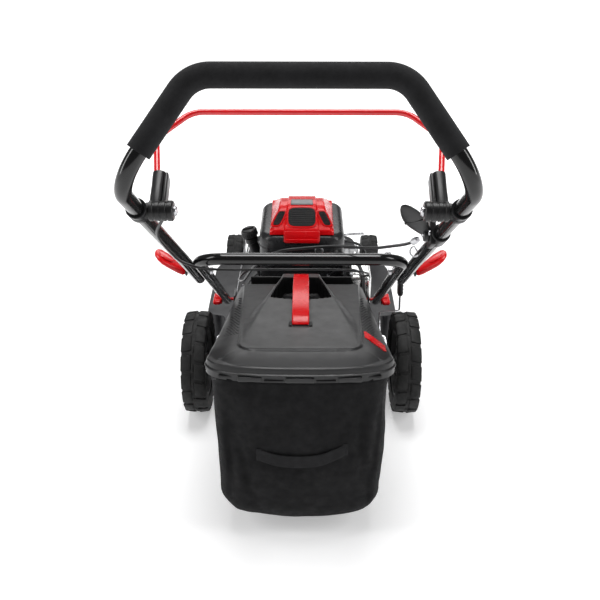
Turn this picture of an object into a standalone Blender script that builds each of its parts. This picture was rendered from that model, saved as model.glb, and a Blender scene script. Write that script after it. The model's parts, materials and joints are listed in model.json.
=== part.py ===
# A walk-behind petrol lawn mower with a rear grass catcher, folding U handle and blade-brake bail.
# Metres, +Z up, +Y towards the front of the mower. Shapes are drawn in a frame whose origin lies on
# the ground below the rear axle; the parent empty then moves them so that the origin is the bottom
# centre of the whole mower.
import math

import bmesh
import bpy
from mathutils import Matrix, Vector

# Wheels and axles
wheelbase = 0.620
rear_wheel_radius = 0.127
rear_wheel_width = 0.058
rear_track = 0.512            # between the middles of the rear tyres
front_wheel_radius = 0.088
front_wheel_width = 0.050
front_track = 0.422
rim_share = 0.66              # rim radius over tyre radius
axle_radius = 0.006
crank_length = 0.070          # from an axle's shaft to its wheels
crank_drop = 0.034            # how far the wheels sit below the shaft at the lowest cut
height_arm = 0.040            # arm that the height link pulls
height_travel = math.radians(50)
wheel_clearance = 0.010

# Deck
deck_top = 0.150
skirt_bottom = 0.034
deck_wall = 0.003
deck_half_width = 0.255
deck_rear_half_width = 0.205
deck_nose_half_width = 0.164
deck_rear = -0.030
deck_front_reach = 0.070      # nose ahead of the front wheels' middles
deck_shoulder = 0.028
chute_half_width = 0.125
chute_bottom = 0.056

# Blade
blade_length = 0.455
blade_width = 0.050
blade_thickness = 0.004
blade_height = 0.048
crank_y = 0.335               # crankshaft ahead of the rear axle
crankshaft_radius = 0.0125

# Handle
tube_radius = 0.0111
tube_wall = 0.0015
handle_slope = math.radians(37)
handle_pivot = Vector((0, 0.100, 0.250))
lower_half_width = 0.190
crossbar_reach = 0.586        # along the slope from the pivot
lock_reach = 0.450
upper_start_reach = 0.350
grip_elbow = Vector((0.218, -0.766, 0.903))
grip_corner = Vector((0.129, -0.700, 1.018))
foam_radius = 0.0155
foam_end_height = 0.938
bail_radius = 0.0045
bail_pivot_reach = 0.960
bail_angle = math.radians(32)
bail_length = 0.1725
bail_travel = math.radians(64)

# Catcher
lid_rim_top = 0.431
lid_rim_bottom = 0.397
lid_rim_half_width = 0.175
catcher_rear = -0.462
catcher_front = -0.058
bag_bottom = 0.066
fabric = 0.0025

# Engine
engine_half_width = 0.112
cowl_rear = 0.212
cowl_front = 0.452
cowl_top = 0.372
cover_top = 0.420
engine_base_gap = 0.002

gap = 0.0003                  # left between pieces that touch
running_gap = 0.0006          # left round pieces that turn

slope_back = Vector((0, -math.cos(handle_slope), math.sin(handle_slope)))
slope_up = Vector((0, math.sin(handle_slope), math.cos(handle_slope)))
upper_half_width = lower_half_width + 2 * tube_radius + running_gap
shaft_back = math.sqrt(crank_length ** 2 - crank_drop ** 2)
rear_shaft = Vector((0, shaft_back, rear_wheel_radius + crank_drop))
front_shaft = Vector((0, wheelbase + shaft_back, front_wheel_radius + crank_drop))
deck_front = wheelbase + deck_front_reach


# ---------------------------------------------------------------- tools

def clear_scene():
    for obj in list(bpy.data.objects):
        bpy.data.objects.remove(obj)


def new_collection(name):
    made = bpy.data.collections.new(name)
    bpy.context.scene.collection.children.link(made)
    return made


clear_scene()
parts = new_collection("lawn_mower")
cutters = new_collection("cutters")


def material(name, colour, roughness, metallic=0.0):
    made = bpy.data.materials.new(name)
    made.use_nodes = True
    shader = made.node_tree.nodes["Principled BSDF"]
    shader.inputs["Base Color"].default_value = (*colour, 1)
    shader.inputs["Roughness"].default_value = roughness
    shader.inputs["Metallic"].default_value = metallic
    made.diffuse_color = (*colour, 1)
    return made


deck_paint = material("deck_paint", (0.10, 0.10, 0.105), 0.38, 0.4)
gloss_black = material("gloss_black", (0.008, 0.008, 0.009), 0.12)
satin_black = material("satin_black", (0.018, 0.018, 0.020), 0.45)
red_plastic = material("red_plastic", (0.62, 0.008, 0.012), 0.32)
red_paint = material("red_paint", (0.68, 0.010, 0.014), 0.22)
lid_plastic = material("lid_plastic", (0.060, 0.060, 0.062), 0.48)
foam = material("foam", (0.014, 0.014, 0.015), 0.92)
bag_fabric = material("bag_fabric", (0.011, 0.011, 0.012), 0.85)
steel = material("steel", (0.55, 0.55, 0.56), 0.30, 1.0)
aluminium = material("aluminium", (0.62, 0.62, 0.63), 0.38, 1.0)
rubber = material("rubber", (0.020, 0.020, 0.021), 0.70)


def pivot(name, at, parent=None):
    """An empty on a joint's axis. Whatever moves about that joint is its child."""
    made = bpy.data.objects.new(name, None)
    parts.objects.link(made)
    made["at"] = Vector(at)
    if parent is not None:
        made.parent = parent
        made.location = Vector(at) - Vector(parent["at"])
    return made


def home(obj, holder, at=(0, 0, 0), turn=(0, 0, 0), cutter=False):
    """Hangs an object from its pivot, with its own origin at a place in the drawing frame."""
    (cutters if cutter else parts).objects.link(obj)
    obj.parent = holder
    obj.location = Vector(at) - Vector(holder["at"])
    obj.rotation_euler = turn
    if cutter:
        obj.hide_render = True
        obj.display_type = "WIRE"
    return obj


def mesh_object(name, bm, paint=None):
    bmesh.ops.recalc_face_normals(bm, faces=bm.faces)
    mesh = bpy.data.meshes.new(name)
    bm.to_mesh(mesh)
    bm.free()
    if paint is not None:
        mesh.materials.append(paint)
    return bpy.data.objects.new(name, mesh)


def box(name, low, high, paint=None, edge=0.0):
    """A block between two corners, with its edges rounded by a bevel."""
    low, high = Vector(low), Vector(high)
    bm = bmesh.new()
    bmesh.ops.create_cube(bm, size=1)
    bmesh.ops.scale(bm, vec=high - low, verts=bm.verts)
    bmesh.ops.translate(bm, vec=(low + high) / 2, verts=bm.verts)
    obj = mesh_object(name, bm, paint)
    if edge:
        round_edges(obj, edge)
    return obj


def round_edges(obj, width, segments=2, angle=40):
    bevel = obj.modifiers.new("rounded", "BEVEL")
    bevel.width = width
    bevel.segments = segments
    bevel.limit_method = "ANGLE"
    bevel.angle_limit = math.radians(angle)
    bevel.use_clamp_overlap = True
    return obj


def cylinder(name, radius, length, paint=None, sides=24, top_radius=None):
    """A round bar along the object's own Z, centred on its origin."""
    bm = bmesh.new()
    bmesh.ops.create_cone(
        bm, cap_ends=True, segments=sides, radius1=radius,
        radius2=radius if top_radius is None else top_radius, depth=length)
    obj = mesh_object(name, bm, paint)
    smooth(obj)
    return obj


def clear_of(radius, sides):
    """Radius of a hole with flat sides that keeps the gap to a bar of the given radius."""
    return (radius + gap) / math.cos(math.pi / sides)


along_x = (0, math.pi / 2, 0)
along_y = (math.pi / 2, 0, 0)


def smooth(obj, angle=35):
    obj.data.shade_smooth()
    obj.data.set_sharp_from_angle(angle=math.radians(angle))


def turned(name, profile, paint=None, steps=24, closed=True):
    """A turned piece about its own Z. The profile is (radius, height), down its outer side first."""
    bm = bmesh.new()
    points = [bm.verts.new((r, 0, z)) for r, z in profile]
    pairs = list(zip(points, points[1:]))
    if closed:
        pairs.append((points[-1], points[0]))
    for pair in pairs:
        bm.edges.new(pair)
    mesh = bpy.data.meshes.new(name)
    bm.to_mesh(mesh)
    bm.free()
    if paint is not None:
        mesh.materials.append(paint)
    obj = bpy.data.objects.new(name, mesh)
    screw = obj.modifiers.new("turned", "SCREW")
    screw.axis = "Z"
    screw.steps = screw.render_steps = steps
    screw.use_merge_vertices = True
    screw.merge_threshold = 0.00005
    screw.use_smooth_shade = True
    return obj


def bent(points, radii, steps=5):
    """A polyline with an arc of the given radius at each inner corner."""
    points = [Vector(p) for p in points]
    made = [points[0]]
    for before, corner, after, radius in zip(points, points[1:], points[2:], radii):
        back, ahead = (before - corner).normalized(), (after - corner).normalized()
        half = back.angle(ahead) / 2
        reach = min(radius / math.tan(half), 0.48 * (before - corner).length,
                    0.48 * (after - corner).length)
        radius = reach * math.tan(half)
        middle = corner + (back + ahead).normalized() * (radius / math.sin(half))
        start, end = corner + back * reach - middle, corner + ahead * reach - middle
        turn = start.angle(end)
        across = start.cross(end).normalized()
        made += [middle + Matrix.Rotation(turn * i / steps, 3, across) @ start
                 for i in range(steps + 1)]
    return made + [points[-1]]


def mirrored(points):
    """A path given from its left end to the middle plane, continued to the right."""
    return list(points) + [Vector((-p.x, p.y, p.z)) for p in reversed(points)]


def wire(name, points, radius, paint=None, resolution=3, caps=True):
    """A round bar along a path."""
    curve = bpy.data.curves.new(name, "CURVE")
    curve.dimensions = "3D"
    spline = curve.splines.new("POLY")
    spline.points.add(len(points) - 1)
    for point, at in zip(spline.points, points):
        point.co = (*at, 1)
    curve.bevel_depth = radius
    curve.bevel_resolution = resolution
    curve.use_fill_caps = caps
    if paint is not None:
        curve.materials.append(paint)
    return bpy.data.objects.new(name, curve)


def as_mesh(curve_object):
    """The same bar as a mesh, so that it can be cut or joined."""
    graph = bpy.context.evaluated_depsgraph_get()
    mesh = bpy.data.meshes.new_from_object(curve_object.evaluated_get(graph))
    bm = bmesh.new()
    bm.from_mesh(mesh)
    bmesh.ops.remove_doubles(bm, verts=bm.verts, dist=0.00001)
    bmesh.ops.recalc_face_normals(bm, faces=bm.faces)
    bm.to_mesh(mesh)
    bm.free()
    name = curve_object.name
    bpy.data.objects.remove(curve_object)
    made = bpy.data.objects.new(name, mesh)
    made.name = name
    return made


def bar(name, points, radius, paint=None, resolution=3):
    return as_mesh(wire(name, points, radius, paint, resolution))


def tube(name, points, radius, wall, paint=None, resolution=3):
    """A hollow tube with open ends."""
    made = as_mesh(wire(name, points, radius, paint, resolution, caps=False))
    shell = made.modifiers.new("wall", "SOLIDIFY")
    shell.thickness = wall
    shell.offset = -1
    return made


def boolean(obj, other, operation):
    step = obj.modifiers.new(operation.lower(), "BOOLEAN")
    step.operation = operation
    step.solver = "EXACT"
    step.object = other
    return obj


def cut(obj, other):
    return boolean(obj, other, "DIFFERENCE")


def join(obj, other):
    return boolean(obj, other, "UNION")


def rounded_rectangle(x0, x1, y0, y1, z, radius, steps=3):
    """A level ring with rounded corners, the same number of points whatever its size."""
    radius = min(radius, 0.49 * (x1 - x0), 0.49 * (y1 - y0))
    corners = [(x1 - radius, y1 - radius, 0), (x0 + radius, y1 - radius, 90),
               (x0 + radius, y0 + radius, 180), (x1 - radius, y0 + radius, 270)]
    ring = []
    for x, y, first in corners:
        for i in range(steps + 1):
            a = math.radians(first + 90 * i / steps)
            ring.append(Vector((x + radius * math.cos(a), y + radius * math.sin(a), z)))
    return ring


def outline_ring(corners, inset, z, steps=3):
    """A level ring round an outline of (x, y, corner radius), moved inwards by the inset."""
    count = len(corners)
    moved = []
    for i, (x, y, radius) in enumerate(corners):
        here = Vector((x, y))
        before = (here - Vector(corners[i - 1][:2])).normalized()
        after = (Vector(corners[(i + 1) % count][:2]) - here).normalized()
        left_before, left_after = Vector((-before.y, before.x)), Vector((-after.y, after.x))
        shift = (left_before + left_after) * (inset / (1 + left_before.dot(left_after)))
        convex = before.x * after.y - before.y * after.x > 0
        moved.append((here + shift, max(radius - inset if convex else radius + inset, 0.004)))
    ring = []
    for i, (here, radius) in enumerate(moved):
        before, after = moved[i - 1][0], moved[(i + 1) % count][0]
        arc = bent([before.to_3d(), here.to_3d(), after.to_3d()], [radius], steps)[1:-1]
        ring += [Vector((p.x, p.y, z)) for p in arc]
    return ring


def loft(name, rings, paint=None):
    """A closed body through rings that have the same number of points, capped at both ends."""
    bm = bmesh.new()
    rows = [[bm.verts.new(p) for p in ring] for ring in rings]
    for low, high in zip(rows, rows[1:]):
        for i in range(len(low)):
            bm.faces.new((low[i - 1], low[i], high[i], high[i - 1]))
    bm.faces.new(rows[0])
    bm.faces.new(rows[-1])
    return mesh_object(name, bm, paint)


def dome(ring_at, low, high, radius, steps=3):
    """Rings up a wall and over a rounded shoulder. ring_at(inset, z) draws one."""
    rings = [ring_at(0, low)]
    for i in range(steps + 1):
        a = math.pi / 2 * i / steps
        rings.append(ring_at(radius * (1 - math.cos(a)), high - radius * (1 - math.sin(a))))
    return rings


def ribbon(name, points, across, width, thickness, paint=None):
    """A flat strip along a path, with its width along one direction."""
    bm = bmesh.new()
    side = Vector(across).normalized() * (width / 2)
    rows = [(bm.verts.new(Vector(p) - side), bm.verts.new(Vector(p) + side)) for p in points]
    for (a, b), (c, d) in zip(rows, rows[1:]):
        bm.faces.new((a, b, d, c))
    obj = mesh_object(name, bm, paint)
    shell = obj.modifiers.new("thickness", "SOLIDIFY")
    shell.thickness = thickness
    shell.offset = 0
    return obj


def curve_through(points, spacing):
    """Points at even steps along a smooth curve through the given ones."""
    points = [Vector(p) for p in points]
    ends = [2 * points[0] - points[1]] + points + [2 * points[-1] - points[-2]]
    fine = []
    for a, b, c, d in zip(ends, ends[1:], ends[2:], ends[3:]):
        for i in range(20):
            t = i / 20
            fine.append(0.5 * ((2 * b) + (c - a) * t + (2 * a - 5 * b + 4 * c - d) * t ** 2
                               + (3 * b - a - 3 * c + d) * t ** 3))
    fine.append(points[-1])
    length = sum((b - a).length for a, b in zip(fine, fine[1:]))
    count = max(4, round(length / spacing))
    made, walked, wanted = [fine[0]], 0.0, length / count
    for a, b in zip(fine, fine[1:]):
        step = (b - a).length
        while step and walked + step >= wanted and len(made) < count:
            made.append(a + (b - a) * ((wanted - walked) / step))
            wanted += length / count
        walked += step
    return made + [fine[-1]]


def along_slope(reach, half_width=0.0, up=0.0):
    return handle_pivot + slope_back * reach + slope_up * up + Vector((half_width, 0, 0))


# ---------------------------------------------------------------- where everything hangs

def upper_path_half():
    """Left half of the upper handle, from its lower end to the middle plane."""
    start = along_slope(upper_start_reach, -upper_half_width)
    elbow = Vector((-grip_elbow.x, grip_elbow.y, grip_elbow.z))
    corner = Vector((-grip_corner.x, grip_corner.y, grip_corner.z))
    knee = along_slope(lock_reach + 0.12, -upper_half_width)
    return bent([start, knee, elbow, corner, Vector((0, grip_corner.y, grip_corner.z))],
                [0.30, 0.055, 0.045])


rearmost = min(p.y for p in upper_path_half()) - tube_radius
foremost = wheelbase + front_wheel_radius
middle_y = (rearmost + foremost) / 2

root = bpy.data.objects.new("mower", None)
parts.objects.link(root)
root["at"] = Vector((0, 0, 0))
root.location = (0, -middle_y, 0)

lower_pivot = pivot("lower_handle_pivot", handle_pivot, root)
fold_pivot = pivot("fold_pivot", along_slope(lock_reach), lower_pivot)
bail_pivot = pivot("bail_pivot", along_slope(bail_pivot_reach), fold_pivot)
rear_pivot = pivot("rear_axle_pivot", rear_shaft, root)
front_pivot = pivot("front_axle_pivot", front_shaft, root)
crank_pivot = pivot("crank_pivot", (0, crank_y, 0), root)


# ---------------------------------------------------------------- deck

def deck_corners():
    """Outline of the deck, anticlockwise: narrow between the wheels, wide over the blade."""
    hang = math.pi + math.asin(crank_drop / crank_length)
    swing = crank_length * (math.cos(hang + height_travel) - math.cos(hang))
    side_rear = rear_wheel_radius + swing + wheel_clearance
    side_front = wheelbase - front_wheel_radius - wheel_clearance
    right = [(deck_rear_half_width, deck_rear, 0.012),
             (deck_rear_half_width, side_rear, 0.018),
             (deck_half_width, side_rear, 0.050),
             (deck_half_width, side_front, 0.080),
             (deck_nose_half_width, side_front, 0.020),
             (deck_nose_half_width, deck_front, 0.050)]
    return right + [(-x, y, r) for x, y, r in reversed(right)]


def deck_body(name, inset, top, bottom, paint=None):
    def ring_at(more, z):
        return outline_ring(deck_corners(), inset + more, z, steps=2)
    return loft(name, dome(ring_at, bottom, top, deck_shoulder - inset), paint)


def make_deck():
    deck = home(deck_body("deck", 0, deck_top, skirt_bottom, deck_paint), root)
    hollow = deck_body("deck_hollow", deck_wall, deck_top - deck_wall, skirt_bottom - 0.02)
    cut(deck, home(hollow, root, cutter=True))
    chute = box("chute_cut", (-chute_half_width, deck_rear - 0.02, chute_bottom),
                (chute_half_width, deck_rear + 0.02, deck_top - 0.016))
    cut(deck, home(chute, root, cutter=True))
    bore = cylinder("crank_bore_cut", crankshaft_radius + 0.012, 0.06, sides=20)
    cut(deck, home(bore, root, at=(0, crank_y, deck_top), cutter=True))
    axle = cylinder("front_shaft_cut", axle_radius + running_gap, 0.5, sides=12)
    cut(deck, home(axle, root, at=front_shaft, turn=along_x, cutter=True))


ear_inner = 0.166
ear_thickness = 0.004


def make_brackets():
    """Angle brackets on the deck that carry the handle and the rear axle's shaft."""
    base_y = (rear_shaft.y - 0.022, handle_pivot.y + 0.030)
    for side, name in ((-1, "left"), (1, "right")):
        corners = [(base_y[0], deck_top + gap), (base_y[1], deck_top + gap),
                   (handle_pivot.y + 0.020, handle_pivot.z + 0.020),
                   (handle_pivot.y - 0.020, handle_pivot.z + 0.020),
                   (base_y[0], rear_shaft.z + 0.020)]
        bm = bmesh.new()
        face = bm.faces.new([bm.verts.new((side * ear_inner, y, z)) for y, z in corners])
        rise = bmesh.ops.extrude_face_region(bm, geom=[face])
        outer = [v for v in rise["geom"] if isinstance(v, bmesh.types.BMVert)]
        bmesh.ops.translate(bm, vec=(side * ear_thickness, 0, 0), verts=outer)
        bracket = home(mesh_object("handle_bracket_" + name, bm, satin_black), root)
        inner, edge = side * (ear_inner - 0.028), side * (ear_inner + 0.001)
        foot = box("bracket_foot_" + name,
                   (min(inner, edge), base_y[0], deck_top + gap),
                   (max(inner, edge), base_y[1], deck_top + gap + 0.003))
        join(bracket, home(foot, root, cutter=True))
        for hole, at, radius in (("bolt", handle_pivot, 0.004), ("shaft", rear_shaft, axle_radius)):
            tool = cylinder(f"bracket_{hole}_cut_{name}", radius + running_gap, 0.03, sides=16)
            middle = Vector((side * (ear_inner + ear_thickness / 2), at.y, at.z))
            cut(bracket, home(tool, root, at=middle, turn=along_x, cutter=True))


def make_flap():
    """Discharge flap on its rod, leaning on the catcher, and the spring that shuts it."""
    rod_at = Vector((0, 0.020, 0.236))
    reach = 0.140
    lean = math.radians(102)
    holder = pivot("flap_pivot", rod_at, root)
    rod_radius = 0.004
    rod = home(cylinder("flap_rod", rod_radius, 2 * (ear_inner - gap), steel, 16),
               root, at=rod_at, turn=along_x)
    rod.name = "flap_rod"
    half = 0.118
    start = 0.011
    low, high = rod_at.z + start, rod_at.z + reach
    flap = box("rear_flap", (-half, -0.0015, low - rod_at.z), (half, 0.0015, high - rod_at.z),
               satin_black)
    home(flap, holder, at=rod_at, turn=(lean - math.pi / 2, 0, 0))
    for side in (-1, 1):
        knuckle = cylinder(f"flap_knuckle_{side + 1}", 0.0085, 0.03, sides=16)
        join(flap, home(knuckle, holder, at=rod_at + Vector((side * 0.095, 0, 0)),
                        turn=along_x, cutter=True))
        web = box(f"flap_web_{side + 1}", (-0.012, -0.0025, 0.004), (0.012, 0.0025, start + 0.01))
        join(flap, home(web, holder, at=rod_at + Vector((side * 0.095, 0, 0)),
                        turn=(lean - math.pi / 2, 0, 0), cutter=True))
    bore = cylinder("flap_bore_cut", rod_radius + running_gap, 0.4, sides=16)
    cut(flap, home(bore, holder, at=rod_at, turn=along_x, cutter=True))
    turns, coil_radius, first, last = 6, 0.0055, Vector((-0.155, 0.040, 0.270)), \
        Vector((-0.136, 0.026, 0.330))
    line = (last - first).normalized()
    side = line.cross(Vector((0, 1, 0))).normalized()
    other = line.cross(side)
    count = turns * 8
    coil = [first + line * ((last - first).length * i / count)
            + (side * math.cos(math.tau * i / 8) + other * math.sin(math.tau * i / 8)) * coil_radius
            for i in range(count + 1)]
    home(wire("flap_spring", coil, 0.0011, steel, resolution=1), root)


# ---------------------------------------------------------------- axles and wheels

def make_wheel(name, at, radius, width, holder):
    spin = pivot(name + "_axis", at, holder)
    half, rim, chamfer = width / 2, radius * rim_share, radius * 0.06
    tread = [(radius - chamfer, half), (radius, half - chamfer), (radius, chamfer - half),
             (radius - chamfer, -half), (rim, -half), (rim, half)]
    home(turned(name + "_tyre", tread, rubber, steps=20), spin, at=at, turn=along_x)
    edge, lip, boss = rim - gap, rim - 0.005, 0.019
    bore, web, reach = axle_radius + running_gap, 0.004, half - 0.004
    hub = [(edge, reach), (edge, -reach), (lip, -reach), (lip, -web), (boss, -web),
           (boss, -reach), (bore, -reach), (bore, reach), (boss, reach), (boss, web),
           (lip, web), (lip, reach)]
    home(turned(name + "_hub", hub, satin_black, steps=20), spin, at=at, turn=along_x)


def make_axle(name, shaft, wheel_at, track, width, holder):
    """A cranked axle: a shaft along the deck, an arm at each end and a stub for each wheel."""
    end = track / 2 + width / 2 + 0.004
    knee = track / 2 - width / 2 - 0.006
    left = [(-end, wheel_at.y, wheel_at.z), (-knee, wheel_at.y, wheel_at.z),
            (-knee + 0.010, shaft.y, shaft.z)]
    path = bent(mirrored([Vector(p) for p in left]), [0.006] * 4, steps=3)
    return home(bar(name, path, axle_radius, steel, resolution=2), holder)


link_x = -0.177


def make_axles():
    rear_wheels = Vector((0, 0, rear_wheel_radius))
    front_wheels = Vector((0, wheelbase, front_wheel_radius))
    rear = make_axle("rear_axle", rear_shaft, rear_wheels, rear_track, rear_wheel_width, rear_pivot)
    front = make_axle("front_axle", front_shaft, front_wheels, front_track, front_wheel_width,
                      front_pivot)
    for axle, shaft, holder, name in ((rear, rear_shaft, rear_pivot, "rear"),
                                      (front, front_shaft, front_pivot, "front")):
        arm = box(f"height_arm_{name}", (link_x + 0.0030, shaft.y - 0.006, shaft.z - 0.004),
                  (link_x + 0.0055, shaft.y + 0.006, shaft.z + height_arm + 0.004))
        join(axle, home(arm, holder, cutter=True))
        pin = cylinder(f"height_pin_{name}", 0.0020, 0.0090, sides=10)
        join(axle, home(pin, holder, at=(link_x - 0.0005, shaft.y, shaft.z + height_arm),
                        turn=along_x, cutter=True))
    for side, name in ((-1, "left"), (1, "right")):
        make_wheel("rear_wheel_" + name, Vector((side * rear_track / 2, *rear_wheels.yz)),
                   rear_wheel_radius, rear_wheel_width, rear_pivot)
        make_wheel("front_wheel_" + name, Vector((side * front_track / 2, *front_wheels.yz)),
                   front_wheel_radius, front_wheel_width, front_pivot)
    link_pivot = pivot("link_pivot", rear_shaft + Vector((0, 0, height_arm)), rear_pivot)
    line = [shaft + Vector((link_x, 0, height_arm)) for shaft in (rear_shaft, front_shaft)]
    ends = (line[1] - line[0]).normalized() * 0.006
    link = ribbon("height_link", [line[0] - ends, line[1] + ends], (0, -ends.z, ends.y),
                  0.008, 0.0022, steel)
    home(link, link_pivot)
    for i, at in enumerate(line):
        tool = cylinder(f"link_cut_{i}", 0.0020 + running_gap, 0.01, sides=10)
        cut(link, home(tool, link_pivot, at=at, turn=along_x, cutter=True))


def make_height_lever():
    """Steel strip on the rear shaft's right end, bent out over the wheel, with a black grip."""
    foot = rear_shaft + Vector((0.2000, 0, 0))
    outer = 0.2515
    path = bent([foot + Vector((0, 0.004, 0.004)), Vector((foot.x, 0.1107, 0.2073)),
                 Vector((outer, 0.1127, 0.2093)), Vector((outer, 0.138, 0.318))],
                [0.006, 0.006], steps=3)
    lever = home(ribbon("height_lever", path, (0, 0.83, -0.56), 0.014, 0.003, steel), rear_pivot)
    eye = cylinder("lever_eye", 0.010, 0.006, sides=16)
    join(lever, home(eye, rear_pivot, at=foot, turn=along_x, cutter=True))
    bore = cylinder("lever_bore_cut", axle_radius + gap, 0.03, sides=16)
    cut(lever, home(bore, rear_pivot, at=foot, turn=along_x, cutter=True))
    line = (path[-1] - path[-2]).normalized()
    tilt = math.atan2(-line.y, line.z)
    grip_length = 0.082
    middle = path[-1] - line * (grip_length / 2 - 0.012)
    grip = box("height_grip", (-0.0065, -0.013, -grip_length / 2),
               (0.0065, 0.013, grip_length / 2), satin_black, edge=0.004)
    home(grip, rear_pivot, at=middle, turn=(tilt, 0, 0))
    socket = ribbon("grip_socket_cut", [p - line * 0 for p in path[-2:]], (0, 0.83, -0.56),
                    0.014 + 0.0016, 0.003 + 0.0012)
    cut(grip, home(socket, rear_pivot, cutter=True))


# ---------------------------------------------------------------- engine and blade

block_bottom = deck_top + engine_base_gap
flywheel_z = (0.277, 0.309)
pulley_z = (0.322, 0.342)


def engine_box(name, x, y, z, paint, edge=0.0):
    return home(box(name, (x[0], crank_y + y[0], z[0]), (x[1], crank_y + y[1], z[1]), paint, edge),
                root)


def make_engine():
    radius = crankshaft_radius
    block = home(box("engine_block", (-0.088, crank_y - 0.100, block_bottom),
                     (0.088, crank_y + 0.098, 0.262), aluminium, 0.008), root)
    barrel = box("block_barrel", (0.070, crank_y - 0.050, 0.168), (0.132, crank_y + 0.054, 0.250))
    join(block, home(barrel, root, cutter=True))
    for i in range(3):
        x = 0.0985 + i * 0.0105
        groove = box(f"barrel_fin_cut_{i}", (x, crank_y - 0.060, 0.150), (x + 0.005, crank_y - 0.036, 0.270))
        cut(block, home(groove, root, cutter=True))
    bore = cylinder("block_bore_cut", radius + running_gap, 0.3, sides=24)
    cut(block, home(bore, root, at=(0, crank_y, 0.21), cutter=True))

    head = engine_box("cylinder_head", (0.132 + gap, 0.160), (-0.050, 0.054), (0.168, 0.250),
                      aluminium, 0.003)
    for i in range(3):
        groove = box(f"head_fin_cut_{i}", (0.145, crank_y - 0.060, 0.178 + i * 0.026),
                     (0.170, crank_y - 0.020, 0.190 + i * 0.026))
        cut(head, home(groove, root, cutter=True))
    plug_bore = cylinder("plug_bore_cut", 0.0070 + gap, 0.04, sides=16)
    plug_at = Vector((0.160, crank_y + 0.020, 0.210))
    cut(head, home(plug_bore, root, at=plug_at, turn=along_x, cutter=True))
    plug = turned("spark_plug", [(0.0055, 0.022), (0.0055, 0.004), (0.0095, 0.004),
                                 (0.0095, -0.004), (0.0070, -0.004), (0.0070, -0.012),
                                 (0, -0.012), (0, 0.022)], steel, 16)
    home(plug, root, at=plug_at + Vector((0.0045, 0, 0)), turn=along_x)

    silencer = engine_box("muffler", (0.118, 0.182), (-0.190, -0.066), (0.196, 0.292), aluminium,
                          0.012)
    for i in range(4):
        slot = box(f"muffler_slot_cut_{i}", (0.176, crank_y - 0.165 + i * 0.022, 0.215),
                   (0.190, crank_y - 0.157 + i * 0.022, 0.272))
        cut(silencer, home(slot, root, cutter=True))
    engine_box("carburettor", (0.050, 0.092), (0.098 + gap, 0.118), (0.160, 0.2035), aluminium,
               0.004)
    engine_box("air_filter_box", (0.030, 0.100), (0.122, 0.196), (0.172, 0.300), satin_black,
               0.010)
    tank = engine_box("fuel_tank", (-0.098, 0.018), (0.122, 0.196), (0.190, 0.296), satin_black,
                      0.012)
    neck_at = Vector((-0.050, crank_y + 0.160, 0.299))
    neck = cylinder("tank_neck", 0.015, 0.020, sides=20)
    join(tank, home(neck, root, at=neck_at, cutter=True))
    filler = cylinder("tank_mouth_cut", 0.0095, 0.05, sides=20)
    cut(tank, home(filler, root, at=neck_at + Vector((0, 0, 0.018)), cutter=True))
    cap_holder = pivot("fuel_cap_axis", neck_at, root)
    rim, skirt = neck_at.z + 0.010 + gap, 0.008
    cap = turned("fuel_cap", [(0.022, 0.014), (0.024, 0.012), (0.024, -skirt),
                              (0.0156, -skirt), (0.0156, 0), (0, 0), (0, 0.014)],
                 satin_black, 20)
    home(cap, cap_holder, at=(neck_at.x, neck_at.y, rim))

    oil_y = crank_y - 0.035
    mouth = Vector((-0.139, oil_y, 0.331))
    elbow = bent([Vector((-0.0885, oil_y, 0.205)), Vector((-0.105, oil_y, 0.205)), mouth],
                 [0.013], steps=4)
    home(tube("oil_tube", elbow, 0.0115, 0.0020, satin_black, 3), root)
    lean = math.atan2(mouth.x + 0.105, mouth.z - 0.205)
    up = Vector((math.sin(lean), 0, math.cos(lean)))
    cap_at = mouth + up * gap
    oil_holder = pivot("oil_cap_axis", cap_at, root)
    oil_cap = turned("oil_cap", [(0.013, 0.017), (0.016, 0.014), (0.016, 0), (0.0089, 0),
                                 (0.0089, -0.012), (0, -0.012), (0, 0.017)], satin_black, 16)
    home(oil_cap, oil_holder, at=cap_at, turn=(0, lean, 0))


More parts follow.
